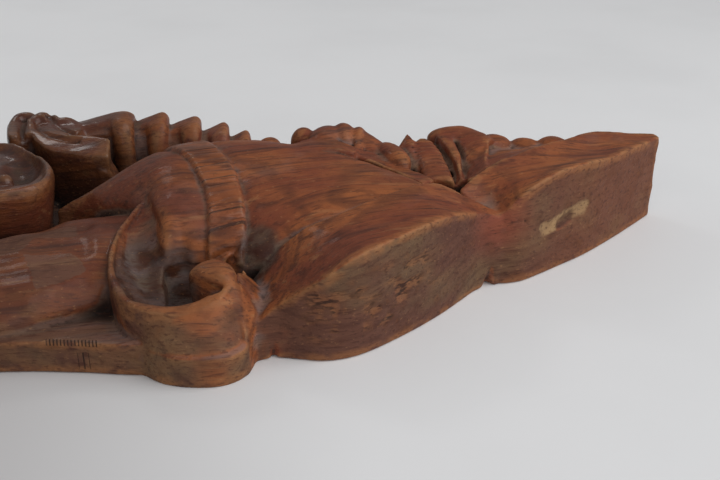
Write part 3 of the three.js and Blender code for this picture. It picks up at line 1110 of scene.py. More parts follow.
@dataclass
class FarLeaves:
    """The knuckles, small leaves and scallops between the body and the tip, and the left half's scallops."""

    def carve(self, wood: Carving) -> None:
        """Adds them from the body outwards.

        Args:
            wood: the block that is carved.
        """
        for boss in (Mound(140, 110, 12, 16, 78, -50), Mound(154, 90, 11, 15, 76, -40),
                     Mound(167, 70, 12, 13, 99)):
            wood.add(boss, 1.5)
        wood.add(Mound(186, 54, 19, 27, 102.5, -24, fall=15), 2)
        wood.add(Mound(203, 56, 12, 24, 103.5, -10, fall=14), 0.8)
        wood.add(Ribbon(((207, 18, 90, 8), (211, 34, 96, 9), (216, 52, 101, 10), (221, 66, 96, 9)),
                        crown=4), 0.8)
        self.middle(wood)
        self.rolled_leaf(wood)
        for x, y, top in ((345, 31, 88), (374, 24, 84), (400, 17, 86)):
            wood.add(Mound(x, y, 18, 19, top, -15), 2)
        for x, y, top in ((-300, 72, 86), (-330, 52, 85), (-360, 37, 84), (-392, 25, 84)):
            wood.add(Mound(x, y, 22, 20, top, 30), 2)

    def middle(self, wood: Carving) -> None:
        """The trough beside the body, the slanted slab, and the dished, pointed and ribbed leaves.

        Args:
            wood: the block that is carved.
        """
        wood.add(Leaf(
            outer=((194, 14, 92), (212, -4, 90), (228, -26, 87), (244, -56, 85)),
            rib=((206, 30, 91), (226, 14, 87), (243, -8, 83), (260, -44, 82)), dish=2, floor=ROOT), 2)
        wood.add(Swell(
            near=((210, 30, 90), (222, 20, 87), (234, 10, 82)),
            crest=((217, 54, 98), (226, 44, 92), (235, 34, 85)),
            far=((224, 68, 86), (238, 54, 82), (248, 38, 76)), round_near=1.3, floor=0), 1.5)
        wood.add(Mound(239, 16, 30, 13, 93, -84, fall=12), 1)
        wood.add(Leaf(
            outer=((243, 28, 80), (249, 14, 79), (254, -14, 76)),
            rib=((259, 40, 97), (259, 18, 88), (262, -12, 78)), floor=0, dish=-2), 1)
        wood.add(Leaf(
            outer=((259, 40, 97), (260, 18, 88), (262, -12, 78)),
            rib=((272, 30, 84), (270, 12, 81), (268, -14, 77)), floor=0, dish=-1), 1)
        wood.add(Swell(
            near=((262, 34, 78), (258, 5, 77), (252, -36, 76)),
            crest=((274, 38, 91), (270, 4, 87), (264, -38, 80)),
            far=((286, 30, 82), (284, -4, 78), (279, -44, 76)), round_near=2.4, round_far=2.4, floor=0), 1)

        def ribs(points: Points) -> np.ndarray:
            """Cross ribs of the ribbed leaf."""
            inside = smooth(points[:, 0], 256, 261) * smooth(-points[:, 0], -288, -282)
            return inside * 0.9 * np.sin((points[:, 1] + 0.15 * points[:, 0]) * 2 * math.pi / 6.5)

        wood.work(ribs, (254, -44, 74), (290, 44, 100))

    def rolled_leaf(self, wood: Carving) -> None:
        """The big leaf with a rolled left rim, its winding groove and the twisted lip beside it.

        Args:
            wood: the block that is carved.
        """
        wood.add(Swell(
            near=((284, 30, 84), (284, 6, 80), (284, -20, 78), (280, -42, 76)),
            crest=((293, 44, 95), (294, 14, 90), (293, -14, 85), (288, -42, 80)),
            far=((304, 44, 88), (303, 10, 80), (300, -16, 77), (293, -44, 75)), floor=0), 1.5)
        wood.add(Swell(
            near=((296, 30, 86), (303, 10, 84), (302, -16, 80)),
            crest=((312, 48, 94), (322, 30, 94), (330, 10, 92)),
            far=((326, 52, 86), (336, 38, 84), (342, 22, 84)), round_near=1.3, floor=0), 2)
        wood.add(Leaf(
            outer=((304, 34, 88), (302, 8, 82), (294, -20, 79), (287, -50, 80)),
            rib=((332, 28, 91), (329, 6, 91), (318, -18, 92), (304, -54, 92)), floor=ROOT, dish=2), 2)
        wood.add(Mound(306, 42, 25, 15, 97, -8, fall=12), 3)
        wood.cut(Gutter(((285, 30), (287, 10), (286, -10), (283, -30), (280, -46)), 84, 2.4, 6), 2.5)
        wood.cut(Gutter(((303, 26), (302, 6), (297, -14), (289, -40)), 86, 2.0, 6), 2.5)


@dataclass
class BigLeaves:
    """The broad near leaf and the leaf that forms the tip, at both ends of the panel."""

    near_outer: Line = (
        (76, -163, 30), (86, -163, 38), (98, -164, 47), (112, -170, 58), (130, -177, 72), (155, -176, 86),
        (194, -159, 90), (235, -135, 88), (260, -117, 81), (280, -103, 73), (301, -98, 65))
    near_rib: Line = (
        (84, -106, 36), (94, -102, 46), (106, -101, 60), (118, -102, 71), (136, -102, 81), (160, -99, 87),
        (195, -89, 92), (227, -76, 94), (252, -69, 91), (276, -82, 80), (302, -92, 67))
    tip_outer: Line = (
        (290, -91, 62), (302, -97, 68), (322, -98, 86), (344, -90, 93), (369, -79, 95), (394, -68, 94),
        (423, -52, 90), (454, -33, 88), (482, -15, 85), (503, -1, 83))
    tip_rib: Line = (
        (270, -73, 84), (287, -60, 90), (306, -51, 94), (328, -39, 96), (356, -25, 96), (399, -2, 93),
        (425, 12, 91), (447, 17, 89), (475, 15, 86), (502, 8, 84))
    back_outer: Line = (
        (298, -58, 88), (328, -42, 94), (356, -28, 94), (399, -5, 91), (438, 11, 88))
    back_rib: Line = (
        (308, 12, 82), (338, 18, 80), (370, 20, 78), (404, 18, 80), (440, 20, 85))
    notch: Line = ((-9, -2), (-4, 7), (0, 13), (4, 6), (9, -3), (0, -12))

    def carve(self, wood: Carving) -> None:
        """Adds the leaves of the right end and their plainer copies on the left.

        Args:
            wood: the block that is carved.
        """
        wood.add(Leaf(self.near_outer, self.near_rib, dish=2), 1)
        wood.add(Leaf(self.tip_outer, self.tip_rib, dish=5), 1)
        wood.add(Leaf(
            outer=((262, -116, 60), (280, -104, 62), (300, -99, 62), (318, -98, 70)),
            rib=((262, -100, 70), (280, -94, 70), (300, -92, 64), (318, -90, 76)), floor=14), 3)
        for centre in ((292, -102), (93, -170)):
            wood.cut(Roundel(centre, self.notch, ((0, -8), (1, -8), (0.85, 4), (0.4, 18), (0, 26))), 2)
        wood.add(Leaf(self.back_outer, self.back_rib, floor=ROOT), 1)
        wood.add(Leaf(mirrored(self.near_outer, 75, 0.83), mirrored(self.near_rib, 75, 0.83), dish=2), 1)
        for outer, rib, dish in ((self.tip_outer, self.tip_rib, 5), (self.back_outer, self.back_rib, 0)):
            wood.add(Leaf(mirrored(outer, 66, 0.868), mirrored(rib, 66, 0.868), dish=dish), 1)


@dataclass
class LeftBody:
    """The plain swelling body of the left half."""

    def carve(self, wood: Carving) -> None:
        """Adds the body.

        Args:
            wood: the block that is carved.
        """
        wood.add(Swell(
            near=((-306, -66, 74), (-260, -84, 74), (-210, -96, 66), (-160, -106, 50), (-128, -104, 44)),
            crest=((-312, -60, 90), (-262, -28, 94), (-216, -6, 92), (-170, -14, 82), (-128, -40, 64)),
            far=((-316, -50, 78), (-280, 34, 72), (-232, 84, 62), (-190, 70, 50), (-150, 6, 44))), 3)


@dataclass(frozen=True)
class ToolMarks:
    """What the gouge, the saw and the years left on the carved forms."""

    gouge_start: Corner = (346, -92, 44)
    gouge_end: Corner = (393, -71, 50)
    cavity_start: Corner = (364, -81, 43)
    cavity_end: Corner = (377, -75, 46)
    broad: Scoops = Scoops(7, (44, 36))
    crack: Line = ((446, -38, 68), (441, -42, 52), (434, -47, 38))
    nails: Line = ((316, -97, 60), (322, -97, 58), (434, -47, 36), (430, -49, 37))

    def raw(self, points: Points) -> np.ndarray:
        """Share of raw, splintered wood round the gouged place in the tip leaf's side."""
        ragged = 2.6 * Grain(31, (16, 16, 6)).at(points) + 1.4 * Grain(32, (9, 9, 2.4)).at(points)
        return smooth(-(near_line(points, self.gouge_start, self.gouge_end) + ragged), -8.5, -6.0)

    def cavity(self, points: Points) -> np.ndarray:
        """Share of the dark cavity inside the raw wood."""
        ragged = 1.6 * Grain(34, (9, 9, 4)).at(points)
        return smooth(-(near_line(points, self.cavity_start, self.cavity_end) + ragged), -5.2, -3.6)

    def carve(self, wood: Carving) -> None:
        """Works the whole surface, then the single marks.

        Args:
            wood: the block that is carved.
        """
        wood.work(self.whole)
        wood.work(self.chips, (104, -190, 6), (252, -110, 84))
        wood.work(self.tip_side, (296, -120, 10), (470, -20, 100))

    def whole(self, points: Points) -> np.ndarray:
        """Gouge scoops where the form was pared by hand, and the pull of the grain everywhere.

        Args:
            points: places in millimetres.

        Returns:
            The depth to take off at each point.
        """
        x, y, z = points.T
        carved = smooth(z, 29, 40)
        bowl = smooth(-((x - 18) / 26) ** 2 - ((y + 72) / 46) ** 2, -1.0, -0.6) * smooth(-z, -80, -70)
        scoops = (4.2 * self.limb(points) + 2.0 * bowl) * self.broad.at(points)
        pared = 0.45 * Scoops(8, (26, 15)).at(points)
        pull = 0.40 * Grain(9, (46, 5, 4.5)).at(points) + 0.75 * Grain(10, (30, 16, 14)).at(points)
        return carved * (scoops + pared) + pull * smooth(z, 1, 6)

    def limb(self, points: Points) -> np.ndarray:
        """Share of the broad facets that were left on the limb."""
        x, y, z = points.T
        return smooth(-x, 27, 42) * smooth(-y, -6, 20) * smooth(z, 38, 48)

    def facets(self, points: Points) -> np.ndarray:
        """Share of thin dust on the limb, different from facet to facet."""
        return self.limb(points) * self.broad.tone(points)

    def torn(self, points: Points) -> np.ndarray:
        """Share of torn grain on the near leaf's sawn side.

        Args:
            points: places in millimetres.

        Returns:
            One share for each point.
        """
        x, y, z = points.T
        edge = np.array(BigLeaves.near_outer)
        face = smooth(-(y - np.interp(x, edge[:, 0], edge[:, 1])), -9, -5)
        place = smooth(x, 104, 130) * smooth(-x, -252, -200) * smooth(z, 10, 24) * smooth(-z, -78, -60)
        ragged = Grain(12, (15, 15, 9)).at(points) + 0.5 * Grain(13, (6, 6, 2.6)).at(points)
        return place * smooth(ragged, 0.08, 0.50) * face

    def chips(self, points: Points) -> np.ndarray:
        """Depth of the torn grain."""
        return self.torn(points) * (1.3 + 1.3 * Grain(14, (7, 7, 2.2)).at(points))

    def tip_side(self, points: Points) -> np.ndarray:
        """The splintered gouge, its cavity, the crack and the nail holes in the tip leaf's side.

        Args:
            points: places in millimetres.

        Returns:
            The depth to take off at each point.
        """
        splinter = Grain(33, (16, 16, 2.2)).at(points)
        depth = self.raw(points) * (1.8 + splinter) + 3.4 * self.cavity(points)
        for start, end in zip(self.crack, self.crack[1:]):
            depth = np.maximum(depth, 1.8 * smooth(-near_line(points, start, end), -1.5, -0.3))
        for nail in self.nails:
            away = np.linalg.norm(points - np.array(nail), axis=1)
            depth = np.maximum(depth, 2.2 * smooth(-away, -3.2, -1.2))
        return depth


# ------------------------------------------------------------------ nodes
class Value:
    """A shader value; sums with it add their Math nodes."""

    def __init__(self, nodes: Nodes, link: bpy.types.NodeSocket) -> None:
        """Wraps an output socket."""
        self.nodes = nodes
        self.link = link

    def maths(self, operation: str, *others: Value | float) -> Value:
        """This value and others through one Math node."""
        node = self.nodes.add("ShaderNodeMath", {"operation": operation}, dict(enumerate((self, *others))))
        return Value(self.nodes, node.outputs[0])

    def __add__(self, other: Value | float) -> Value:
        """Sum."""
        return self.maths("ADD", other)

    def __sub__(self, other: Value | float) -> Value:
        """Difference."""
        return self.maths("SUBTRACT", other)

    def __rsub__(self, other: float) -> Value:
        """Difference from a number."""
        return (self * -1.0) + other

    def __mul__(self, other: Value | float) -> Value:
        """Product."""
        return self.maths("MULTIPLY", other)

    __radd__ = __add__
    __rmul__ = __mul__

    def rise(self, low: float, high: float) -> Value:
        """Rises smoothly from 0 at low to 1 at high; falls where low is more than high.

        Args:
            low: where it leaves 0.
            high: where it reaches 1.

        Returns:
            The value from 0 to 1.
        """
        node = self.nodes.add("ShaderNodeMapRange", {"interpolation_type": "SMOOTHSTEP"},
                              {"Value": self, "From Min": min(low, high), "From Max": max(low, high),
                               "To Min": float(low > high), "To Max": float(low < high)})
        return Value(self.nodes, node.outputs[0])

    def limit(self) -> Value:
        """The value kept from 0 to 1."""
        node = self.nodes.add("ShaderNodeClamp", {}, {"Value": self})
        return Value(self.nodes, node.outputs[0])


class Nodes:
    """A node tree that is being filled."""

    def __init__(self, tree: bpy.types.NodeTree) -> None:
        """Starts with an empty tree."""
        self.tree = tree
        tree.nodes.clear()

    def add(self, kind: str, settings: dict | None = None, sockets: dict | None = None) -> bpy.types.Node:
        """Adds a node.

        Args:
            kind: type of the node.
            settings: its properties, set first.
            sockets: values or links of its input sockets, by name or number.

        Returns:
            The node.
        """
        node = self.tree.nodes.new(kind)
        for name, value in (settings or {}).items():
            setattr(node, name, value)
        for name, value in (sockets or {}).items():
            if isinstance(value, Value):
                value = value.link
            if isinstance(value, bpy.types.NodeSocket):
                self.tree.links.new(value, node.inputs[name])
            else:
                node.inputs[name].default_value = value
        return node

    def place(self) -> list[Value]:
        """The three object coordinates of the shaded point, in metres."""
        split = self.add("ShaderNodeSeparateXYZ", {}, {0: self.add("ShaderNodeTexCoord").outputs["Object"]})
        return [Value(self, out) for out in split.outputs]

    def attribute(self, name: str) -> Value:
        """A value that the mesh carries."""
        return Value(self, self.add("ShaderNodeAttribute", {"attribute_name": name}).outputs["Fac"])

    def noise(self, stretch: Sequence[float], detail: float = 3.0, warp: Value | None = None,
              shift: float = 0.0) -> Value:
        """Noise over the wood.

        Args:
            stretch: cells to a metre along each axis.
            detail: octaves.
            warp: value that bends the pattern across the grain.
            shift: moves the pattern.

        Returns:
            The noise, from 0 to 1.
        """
        spot = self.add("ShaderNodeTexCoord").outputs["Object"]
        if warp is not None:
            bend = self.add("ShaderNodeCombineXYZ", {}, {"Y": warp, "Z": warp})
            moved = self.add("ShaderNodeVectorMath", {"operation": "ADD"}, {0: spot, 1: bend.outputs[0]})
            spot = moved.outputs[0]
        spot = self.add("ShaderNodeMapping", {}, {"Vector": spot, "Scale": stretch, "Location": (shift,) * 3})
        noise = self.add("ShaderNodeTexNoise", {},
                         {"Vector": spot.outputs[0], "Scale": 1.0, "Detail": detail})
        return Value(self, noise.outputs[0])

    def mix(self, under: Tint, over: Tint, share: Value) -> Tint:
        """One colour laid over another by a share."""
        return self.add("ShaderNodeMix", {"data_type": "RGBA"}, {0: share, 6: under, 7: over}).outputs[2]

    def coats(self, under: Tint, *coats: tuple[Tint, Value]) -> Tint:
        """Colours laid over a first one in order, each by its share.

        Args:
            under: the first colour.
            coats: each further colour with its share.

        Returns:
            The colour on top.
        """
        for over, share in coats:
            under = self.mix(under, over, share)
        return under


# ------------------------------------------------------------------ finishes
@dataclass(frozen=True)
class VarnishedHardwood:
    """Old varnished hardwood: red-brown with dark figure, worn orange edges and dust in the hollows, with
    painted shade in deep hollows, creases and chips and over the left end, and a painted grey-violet sheen in
    patches.
    """

    heart: Colour = (0.182, 0.045, 0.020, 1)
    bright: Colour = (0.300, 0.091, 0.028, 1)
    dark: Colour = (0.060, 0.019, 0.012, 1)
    straw: Colour = (0.44, 0.225, 0.095, 1)
    edge: Colour = (0.38, 0.150, 0.052, 1)
    dust: Colour = (0.205, 0.155, 0.112, 1)
    # grey-violet: the tone of dust, and of a painted sheen
    haze_and_sheen: Colour = (0.220, 0.178, 0.175, 1)
    sawn: Colour = (0.106, 0.045, 0.030, 1)
    olive: Colour = (0.134, 0.079, 0.042, 1)
    red: Colour = (0.250, 0.060, 0.032, 1)
    raw: Colour = (0.40, 0.25, 0.120, 1)
    # near black: soot and grime, and also painted shade
    soot_and_shade: Colour = (0.010, 0.006, 0.005, 1)

    def material(self) -> bpy.types.Material:
        """Builds the finish.

        Returns:
            The material.
        """
        material = bpy.data.materials.new("varnished_hardwood")
        material.use_nodes = True
        nodes = Nodes(material.node_tree)
        hollow, crease, arris, facet, settled, deep_shade = (nodes.attribute(name) for name in (
            "hollow", "crease", "arris", "facet", "settled", "deep_shade"))
        sawn, strap, raw, cavity, torn, soiled = (nodes.attribute(name) for name in (
            "sawn", "strap", "raw", "cavity", "torn", "soiled"))
        x, y, z = nodes.place()

        sway = (nodes.noise((3.0, 7.0, 7.0), 2.0) - 0.5) * 0.05
        patches = nodes.noise((9, 22, 22), 5.0, sway)
        streaks = nodes.noise((8, 120, 120), 6.0, sway, 3.0)
        fibres = nodes.noise((34, 460, 460), 4.0, sway, 5.0)
        grime = nodes.noise((60, 75, 75), 6.0, shift=7.0)
        speckle = nodes.noise((260, 420, 420), 3.0, shift=9.0)
        across = y + sway * 1.6
        below = z + 0.15 + x * 0.10
        ring = (across * across + below * below).maths("SQRT") * 700.0 + patches * 5.0
        figure = ring.maths("SINE").rise(0.1, 0.98) * patches.rise(0.36, 0.60)

        cuts = strap * nodes.noise((5, 210, 30), 3.0, shift=17.0).rise(0.575, 0.63)
        wood = nodes.coats(
            self.heart,
            (self.bright, patches.rise(0.38, 0.64)),
            (self.bright, strap * 0.55),
            (self.dark, figure * 0.45),
            (self.soot_and_shade, cuts * 0.75),
            (self.dark, streaks.rise(0.50, 0.72) * 0.70),
            (self.straw, streaks.rise(0.41, 0.27) * 0.32))

        # painted shade in the torn grain's chips
        chip_shade = torn * nodes.noise((110, 110, 330), 4.0, shift=15.0).rise(0.46, 0.58)
        blush = (x - 0.30).maths("ABSOLUTE").rise(0.042, 0.0) * z.rise(0.02, 0.06)
        side = nodes.coats(
            self.sawn,
            (self.olive, nodes.noise((12, 14, 16), 4.0, shift=11.0).rise(0.46, 0.70)),
            (self.dark, figure * 0.32),
            (self.dark, streaks.rise(0.50, 0.75) * 0.45),
            (self.edge, grime.rise(0.60, 0.78) * 0.30),
            (self.edge, torn * 0.35),
            (self.soot_and_shade, chip_shade * 0.9),
            (self.red, blush * 0.8),
            (self.bright, x.rise(0.28, 0.42) * 0.22),
            (self.straw, x.rise(0.12, 0.02) * grime.rise(0.35, 0.60) * 0.22))

        worn = hollow.rise(0.43, 0.34) * grime.rise(0.34, 0.56)
        dusty = (hollow + (grime - 0.5) * 0.18).rise(0.53, 0.63) * (1.0 - sawn * 0.5)
        dusty = dusty + soiled * 0.5 * grime.rise(0.35, 0.6) + settled * 0.75 + facet.rise(0.62, 0.9) * 0.6
        dusty = dusty.limit()
        powder = nodes.mix(self.dust, self.haze_and_sheen, patches.rise(0.45, 0.6))
        # painted sheen: grey-violet patches over the varnish
        sheen_veil = nodes.noise((16, 18, 18), 5.0, shift=13.0).rise(0.55, 0.72) * (1.0 - sawn)
        # painted shade: darker towards the bottom of the far left forms
        low_shade = z.rise(0.088, 0.030) * x.rise(0.14, 0.02) * y.rise(0.03, 0.08)
        nicks = self.nicks(x, y, z)
        colour = nodes.coats(
            wood,
            (side, sawn * 0.92),
            (self.edge, worn * 0.42),
            (self.straw, arris * grime.rise(0.38, 0.62) * 0.45),
            (self.soot_and_shade, soiled * 0.72),
            (powder, dusty * 0.55),
            (self.haze_and_sheen, sheen_veil * 0.16),
            (self.raw, raw * (0.10 + streaks * 1.1).limit()),
            # painted shade: near black in the deep hollows, where the wood round about closes in
            (self.soot_and_shade, deep_shade.rise(0.50, 0.65) * 0.95),
            # painted shade in creases, with grime breaking it up
            (self.soot_and_shade, crease * grime.rise(0.20, 0.55) * 0.70),
            (self.dark, cavity * 0.70),
            (self.dark, grime.rise(0.50, 0.72) * 0.35),
            # painted shade: darker towards the left end, away from the light
            (self.soot_and_shade, x.rise(0.14, -0.12) * (1.0 - sawn * 0.6) * 0.46),
            # painted shade over the far left part
            (self.soot_and_shade, x.rise(0.09, -0.06) * y.rise(0.02, 0.07) * 0.32),
            (self.soot_and_shade, low_shade * 0.75),
            (self.soot_and_shade, nicks * 0.8),
            (self.dark, fibres.rise(0.53, 0.68) * 0.60),
            (self.straw, speckle.rise(0.62, 0.74) * 0.22),
            (self.soot_and_shade, speckle.rise(0.40, 0.28) * 0.30))

        polish = x.rise(0.06, -0.05) * (y.rise(-0.02, 0.03) * 0.50 + 0.08) + strap * 0.25 + 0.12
        clean = (1.0 - dusty * 0.85) * (1.0 - sawn * 0.9) * (1.0 - raw)
        rough = 0.70 - polish * clean * 0.40 + (grime - 0.5) * 0.3 + dusty * 0.12
        height = fibres * 0.7 + streaks * 1.0 + grime * 0.9 + speckle * 0.3 - nicks * 2.0 - cuts * 1.2
        bump = nodes.add("ShaderNodeBump", {}, {"Strength": 0.7, "Distance": 0.0012, "Height": height})
        shader = nodes.add("ShaderNodeBsdfPrincipled", {}, {
            "Base Color": colour, "Roughness": rough.limit(), "Coat Weight": (polish * clean * 0.6).limit(),
            "Coat Roughness": 0.16, "Specular IOR Level": 0.22, "Normal": bump.outputs[0]})
        nodes.add("ShaderNodeOutputMaterial", {}, {"Surface": shader.outputs[0]})
        return material

    @staticmethod
    def nicks(x: Value, y: Value, z: Value) -> Value:
        """A row of fine cuts along the ledge's top corner, and two short saw lines below it.

        Args:
            x: place along the panel, in metres.
            y: place across it.
            z: height over the back.

        Returns:
            Share of cut wood.
        """
        row = (x + 0.052).maths("ABSOLUTE").rise(0.019, 0.017)
        row = row * (z - 0.0258).maths("ABSOLUTE").rise(0.0026, 0.0014)
        cuts = (x * 2500.0).maths("SINE").rise(0.2, 0.7)
        saw = (x + 0.045).maths("ABSOLUTE").rise(0.0042, 0.0038) * (x * 1500.0).maths("SINE").rise(0.6, 0.9)
        saw = saw * (z - 0.011).maths("ABSOLUTE").rise(0.0075, 0.006)
        inset = y + x * 0.297 + 0.1595
        return (row * cuts * inset.rise(0.0045, 0.0030) + saw) * y.rise(-0.10, -0.12)


# ------------------------------------------------------------------ the finished piece
@dataclass
class CarvedPanel:
    """The whole panel: its forms, its marks and its finish."""

    finish: VarnishedHardwood = VarnishedHardwood()
    strap: Strap = Strap()
    marks: ToolMarks = ToolMarks()

    def wood(self) -> Carving:
        """Carves the block.

        Returns:
            The carved block.
        """
        wood = Carving(*BLOCK)
        forms = (Ground(), StrappedBody(), Limb(), LeftBody(), Loop(), Scroll(), Curl(), TeethRow(),
                 FarLeaves(), BigLeaves(), self.strap, self.marks)
        for form in forms:
            form.carve(wood)
            log.info("carved %s", type(form).__name__)
        wood.soften()
        return wood

    def build(self) -> bpy.types.Object:
        """Makes the closed mesh and dresses it.

        Returns:
            The finished object, at the origin.
        """
        wood = self.wood()
        thing = self.mesh(wood)
        self.measure(thing.data, wood)
        thing.data.materials.append(self.finish.material())
        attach(thing, "root")
        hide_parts("carved_panel")
        log.info("carved_relief: %d triangles", sum(len(p.vertices) - 2 for p in thing.data.polygons))
        return thing

    def mesh(self, wood: Carving) -> bpy.types.Object:
        """The wood's surface as one closed mesh under the wanted number of triangles.

        Args:
            wood: the carved block.

        Returns:
            An object with the mesh.
        """
        points, quads = wood.surface()
        fine = bpy.data.meshes.new("carved_relief")
        fine.from_pydata((points * MM).tolist(), [], quads[:, ::-1].tolist())
        thing = bpy.data.objects.new("carved_relief", fine)
        bpy.context.scene.collection.objects.link(thing)
        thin = thing.modifiers.new("thin", "DECIMATE")
        thin.ratio = min(1.0, TRIANGLES / (2 * len(quads)))
        evaluated = thing.evaluated_get(bpy.context.evaluated_depsgraph_get())
        coarse = bpy.data.meshes.new_from_object(evaluated)
        thing.modifiers.clear()
        thing.data = self.one_body(coarse)
        thing.data.name = "carved_relief"
        return thing

    @staticmethod
    def one_body(mesh: bpy.types.Mesh) -> bpy.types.Mesh:
        """The largest connected body of a mesh, without crumbs, shaded smooth, its faces pointing out.

        Args:
            mesh: the mesh, which is changed.

        Returns:
            The same mesh.
        """
        work = bmesh.new()
        work.from_mesh(mesh)
        work.verts.ensure_lookup_table()
        left = set(work.verts)
        bodies = []
        while left:
            body = {left.pop()}
            edge = list(body)
            while edge:
                vert = edge.pop()
                for link in vert.link_edges:
                    other = link.other_vert(vert)
                    if other in left:
                        left.discard(other)
                        body.add(other)
                        edge.append(other)
            bodies.append(body)
        largest = max(bodies, key=len)
        crumbs = [v for body in bodies if body is not largest for v in body]
        bmesh.ops.delete(work, geom=crumbs, context="VERTS")
        for vert in work.verts:
            vert.co.z = max(vert.co.z, 0.0)
        if work.calc_volume(signed=True) < 0:
            bmesh.ops.reverse_faces(work, faces=work.faces[:])
        open_edges = sum(not e.is_manifold for e in work.edges)
        log.info("open edges %d, volume %.2f litres", open_edges, work.calc_volume() * 1000)
        for face in work.faces:
            face.smooth = True
        work.to_mesh(mesh)
        work.free()
        return mesh

    def measure(self, mesh: bpy.types.Mesh, wood: Carving) -> None:
        """Stores where dust lies, edges wear, the saw passed, the strap runs and raw wood shows, and how deep
        the hollows are, for painted shade.

        Args:
            mesh: the finished mesh.
            wood: the block that it was taken from.
        """
        count = len(mesh.vertices)
        spots = np.empty(count * 3, np.float32)
        mesh.vertices.foreach_get("co", spots)
        spots = spots.reshape(-1, 3) / MM
        normals = np.empty(count * 3, np.float32)
        mesh.vertices.foreach_get("normal", normals)
        normals = normals.reshape(-1, 3)
        close, wide = wood.around(EDGE_BALL), wood.around(HOLLOW_BALL)
        level = normals * (1, 1, 0)
        level /= np.maximum(np.linalg.norm(level, axis=1), 1e-3)[:, None]
        outside = spots + level * OPEN_AIR + (0, 0, 4)
        free = smooth(-wide(outside), -0.10, -0.03)
        upright = smooth(-np.abs(normals[:, 2]), -0.62, -0.42)
        under = smooth(-spots[:, 2], -1.0, 0.0)
        bend = self.bends(mesh, spots, normals)
        values = {
            "crease": smooth(-bend, 0.05, 0.22),
            "arris": smooth(bend, 0.05, 0.20),
            "facet": self.marks.facets(spots),
            "settled": smooth(normals[:, 2], 0.55, 0.9) * smooth(-spots[:, 2], -37, -30),
            "hollow": close(spots),
            # share of wood round a point a little out from the surface: where painted shade goes
            "deep_shade": wide(spots + normals * 5),
            "sawn": np.maximum(free * upright, under),
            "strap": smooth(self.strap.cover(spots), -0.6, 0.6),
            "raw": self.marks.raw(spots) * (spots[:, 0] > 320),
            "cavity": self.marks.cavity(spots),
            "torn": self.marks.torn(spots),
            "soiled": self.soiled(spots),
        }
        for name, value in values.items():
            layer = mesh.attributes.new(name, "FLOAT", "POINT")
            layer.data.foreach_set("value", np.ascontiguousarray(value, np.float32))

    @staticmethod
    def bends(mesh: bpy.types.Mesh, spots: Points, normals: Points) -> np.ndarray:
        """How sharply the surface bends at each vertex, per millimetre: above zero on an arris.

        Args:
            mesh: the finished mesh.
            spots: its vertices in millimetres.
            normals: their normals.

        Returns:
            One value for each vertex.
        """
        ends = np.empty(len(mesh.edges) * 2, np.int32)
        mesh.edges.foreach_get("vertices", ends)
        a, b = ends.reshape(-1, 2).T
        gap = spots[b] - spots[a]
        bend = ((normals[b] - normals[a]) * gap).sum(1) / np.maximum((gap * gap).sum(1), 0.5)
        count = len(spots)
        number = np.maximum(np.bincount(a, minlength=count) + np.bincount(b, minlength=count), 1)
        value = (np.bincount(a, bend, count) + np.bincount(b, bend, count)) / number
        return (value + (np.bincount(a, value[b], count) + np.bincount(b, value[a], count)) / number) / 2

    @staticmethod
    def soiled(spots: Points) -> np.ndarray:
        """Share of grime: in the loop's bowl, and where the body meets the near leaf behind the knob.

        Args:
            spots: places in millimetres.

        Returns:
            One share for each place.
        """
        x, y, z = spots.T
        bowl = smooth(-((x - 14) / 40) ** 2 - ((y + 104) / 58) ** 2, -1.0, -0.55) * smooth(-z, -72, -60)
        valley = smooth(-((x - 94) / 20) ** 2 - ((y + 98) / 22) ** 2, -1.0, -0.4)
        return np.maximum(bowl * smooth(-z, -66, -56), valley)


# ------------------------------------------------------------------ studio
class Paper(Enum):
    """Colours of the floor's pale paper: clean, with a faint mottle, and dimmer away from the light."""

    CLEAN = (0.85, 0.855, 0.87, 1)
    MOTTLE = (0.816, 0.8208, 0.8352, 1)
    PAINTED_SHADE = (0.56, 0.55, 0.555, 1)


@dataclass(frozen=True)
class Lamp:
    """A soft square light, aimed at the panel."""

    name: str
    place: Corner
    size: float
    power: float


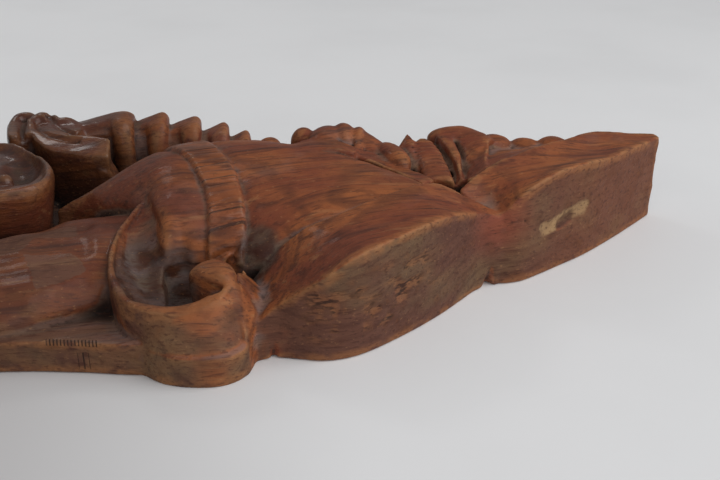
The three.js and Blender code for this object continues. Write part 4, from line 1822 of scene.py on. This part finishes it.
@dataclass
class Studio:
    """A pale floor, soft lights and the camera, all about the panel as it lies on its back."""

    lamps: Sequence[Lamp] = (
        Lamp("window", (1.3, -0.6, 1.2), 1.3, 6.0),
        Lamp("fill", (-1.4, -2.6, 1.1), 2.0, 10.0),
        Lamp("skylight", (-0.4, 1.5, 1.5), 0.35, 2.0))
    aim: Corner = (0.1, 0, 0.05)
    daylight_side: Corner = (0.8, -0.7, 1.0)
    daylight_spread: float = 70.0
    floor_radius: float = 6.0
    sensor: float = 36.0
    camera_place: Corner = (-0.0015, -0.7653, 0.396)
    azimuth: float = -15.0
    elevation: float = 26.0
    lens: float = 47.5
    sky: float = 0.26
    daylight: float = 1.55

    def build(self) -> None:
        """Sets up everything that isn't part of the panel."""
        self.camera()
        self.floor()
        for lamp in self.lamps:
            data = bpy.data.lights.new(lamp.name, "AREA")
            data.size = lamp.size
            data.energy = lamp.power
            self.put(data, lamp.place, Vector(self.aim) - Vector(lamp.place))
        sun = bpy.data.lights.new("daylight", "SUN")
        sun.energy = self.daylight
        sun.angle = math.radians(self.daylight_spread)
        self.put(sun, (0, 0, 0), -Vector(self.daylight_side))
        self.world()
        bpy.context.scene.view_settings.view_transform = "Standard"

    @staticmethod
    def put(data: bpy.types.ID, place: Sequence[float], ahead: Vector) -> bpy.types.Object:
        """Puts a light or a camera in its place, looking ahead.

        Args:
            data: the light or camera.
            place: where it stands.
            ahead: the way it looks.

        Returns:
            Its object.
        """
        thing = bpy.data.objects.new(data.name, data)
        thing.location = place
        thing.rotation_euler = ahead.to_track_quat("-Z", "Y").to_euler()
        bpy.context.scene.collection.objects.link(thing)
        return thing

    def world(self) -> None:
        """An even pale sky all round."""
        world = bpy.data.worlds.new("studio")
        world.use_nodes = True
        nodes = Nodes(world.node_tree)
        sky = nodes.add("ShaderNodeBackground", {}, {"Color": (1.0, 0.995, 0.985, 1), "Strength": self.sky})
        nodes.add("ShaderNodeOutputWorld", {}, {"Surface": sky.outputs[0]})
        bpy.context.scene.world = world

    def camera(self) -> None:
        """The camera, above the near long side and turned towards the leaf tip."""
        data = bpy.data.cameras.new("camera")
        data.sensor_width = self.sensor
        data.lens = self.lens
        turn, tilt = math.radians(self.azimuth), math.radians(self.elevation)
        ahead = Vector((-math.sin(turn) * math.cos(tilt), math.cos(turn) * math.cos(tilt), -math.sin(tilt)))
        bpy.context.scene.camera = self.put(data, self.camera_place, ahead)

    def floor(self) -> None:
        """A wide round floor of pale paper, level with the panel's back."""
        mesh = bpy.data.meshes.new("floor")
        around = [(self.floor_radius * math.cos(a), self.floor_radius * math.sin(a), 0.0)
                  for a in np.linspace(0, 2 * math.pi, 65)[:-1]]
        mesh.from_pydata(around, [], [tuple(range(len(around)))])
        material = bpy.data.materials.new("paper")
        material.use_nodes = True
        nodes = Nodes(material.node_tree)
        x, y, _ = nodes.place()
        shade = nodes.coats(
            Paper.CLEAN.value,
            (Paper.MOTTLE.value, nodes.noise((3, 3, 3), 5.0).rise(0.4, 0.7)),
            # painted shade on the floor near the front left
            (Paper.PAINTED_SHADE.value, x.rise(0.16, -0.16) * y.rise(0.10, -0.10)))
        shader = nodes.add("ShaderNodeBsdfPrincipled", {}, {"Base Color": shade, "Roughness": 0.6})
        nodes.add("ShaderNodeOutputMaterial", {}, {"Surface": shader.outputs[0]})
        mesh.materials.append(material)
        thing = bpy.data.objects.new("floor", mesh)
        bpy.context.scene.collection.objects.link(thing)


def main() -> None:
    """Builds the panel and the studio, and notes the panel's size."""
    Studio().build()
    panel = CarvedPanel().build()
    log.info("%s is ready", panel.name)


if __name__ == "__main__":
    main()
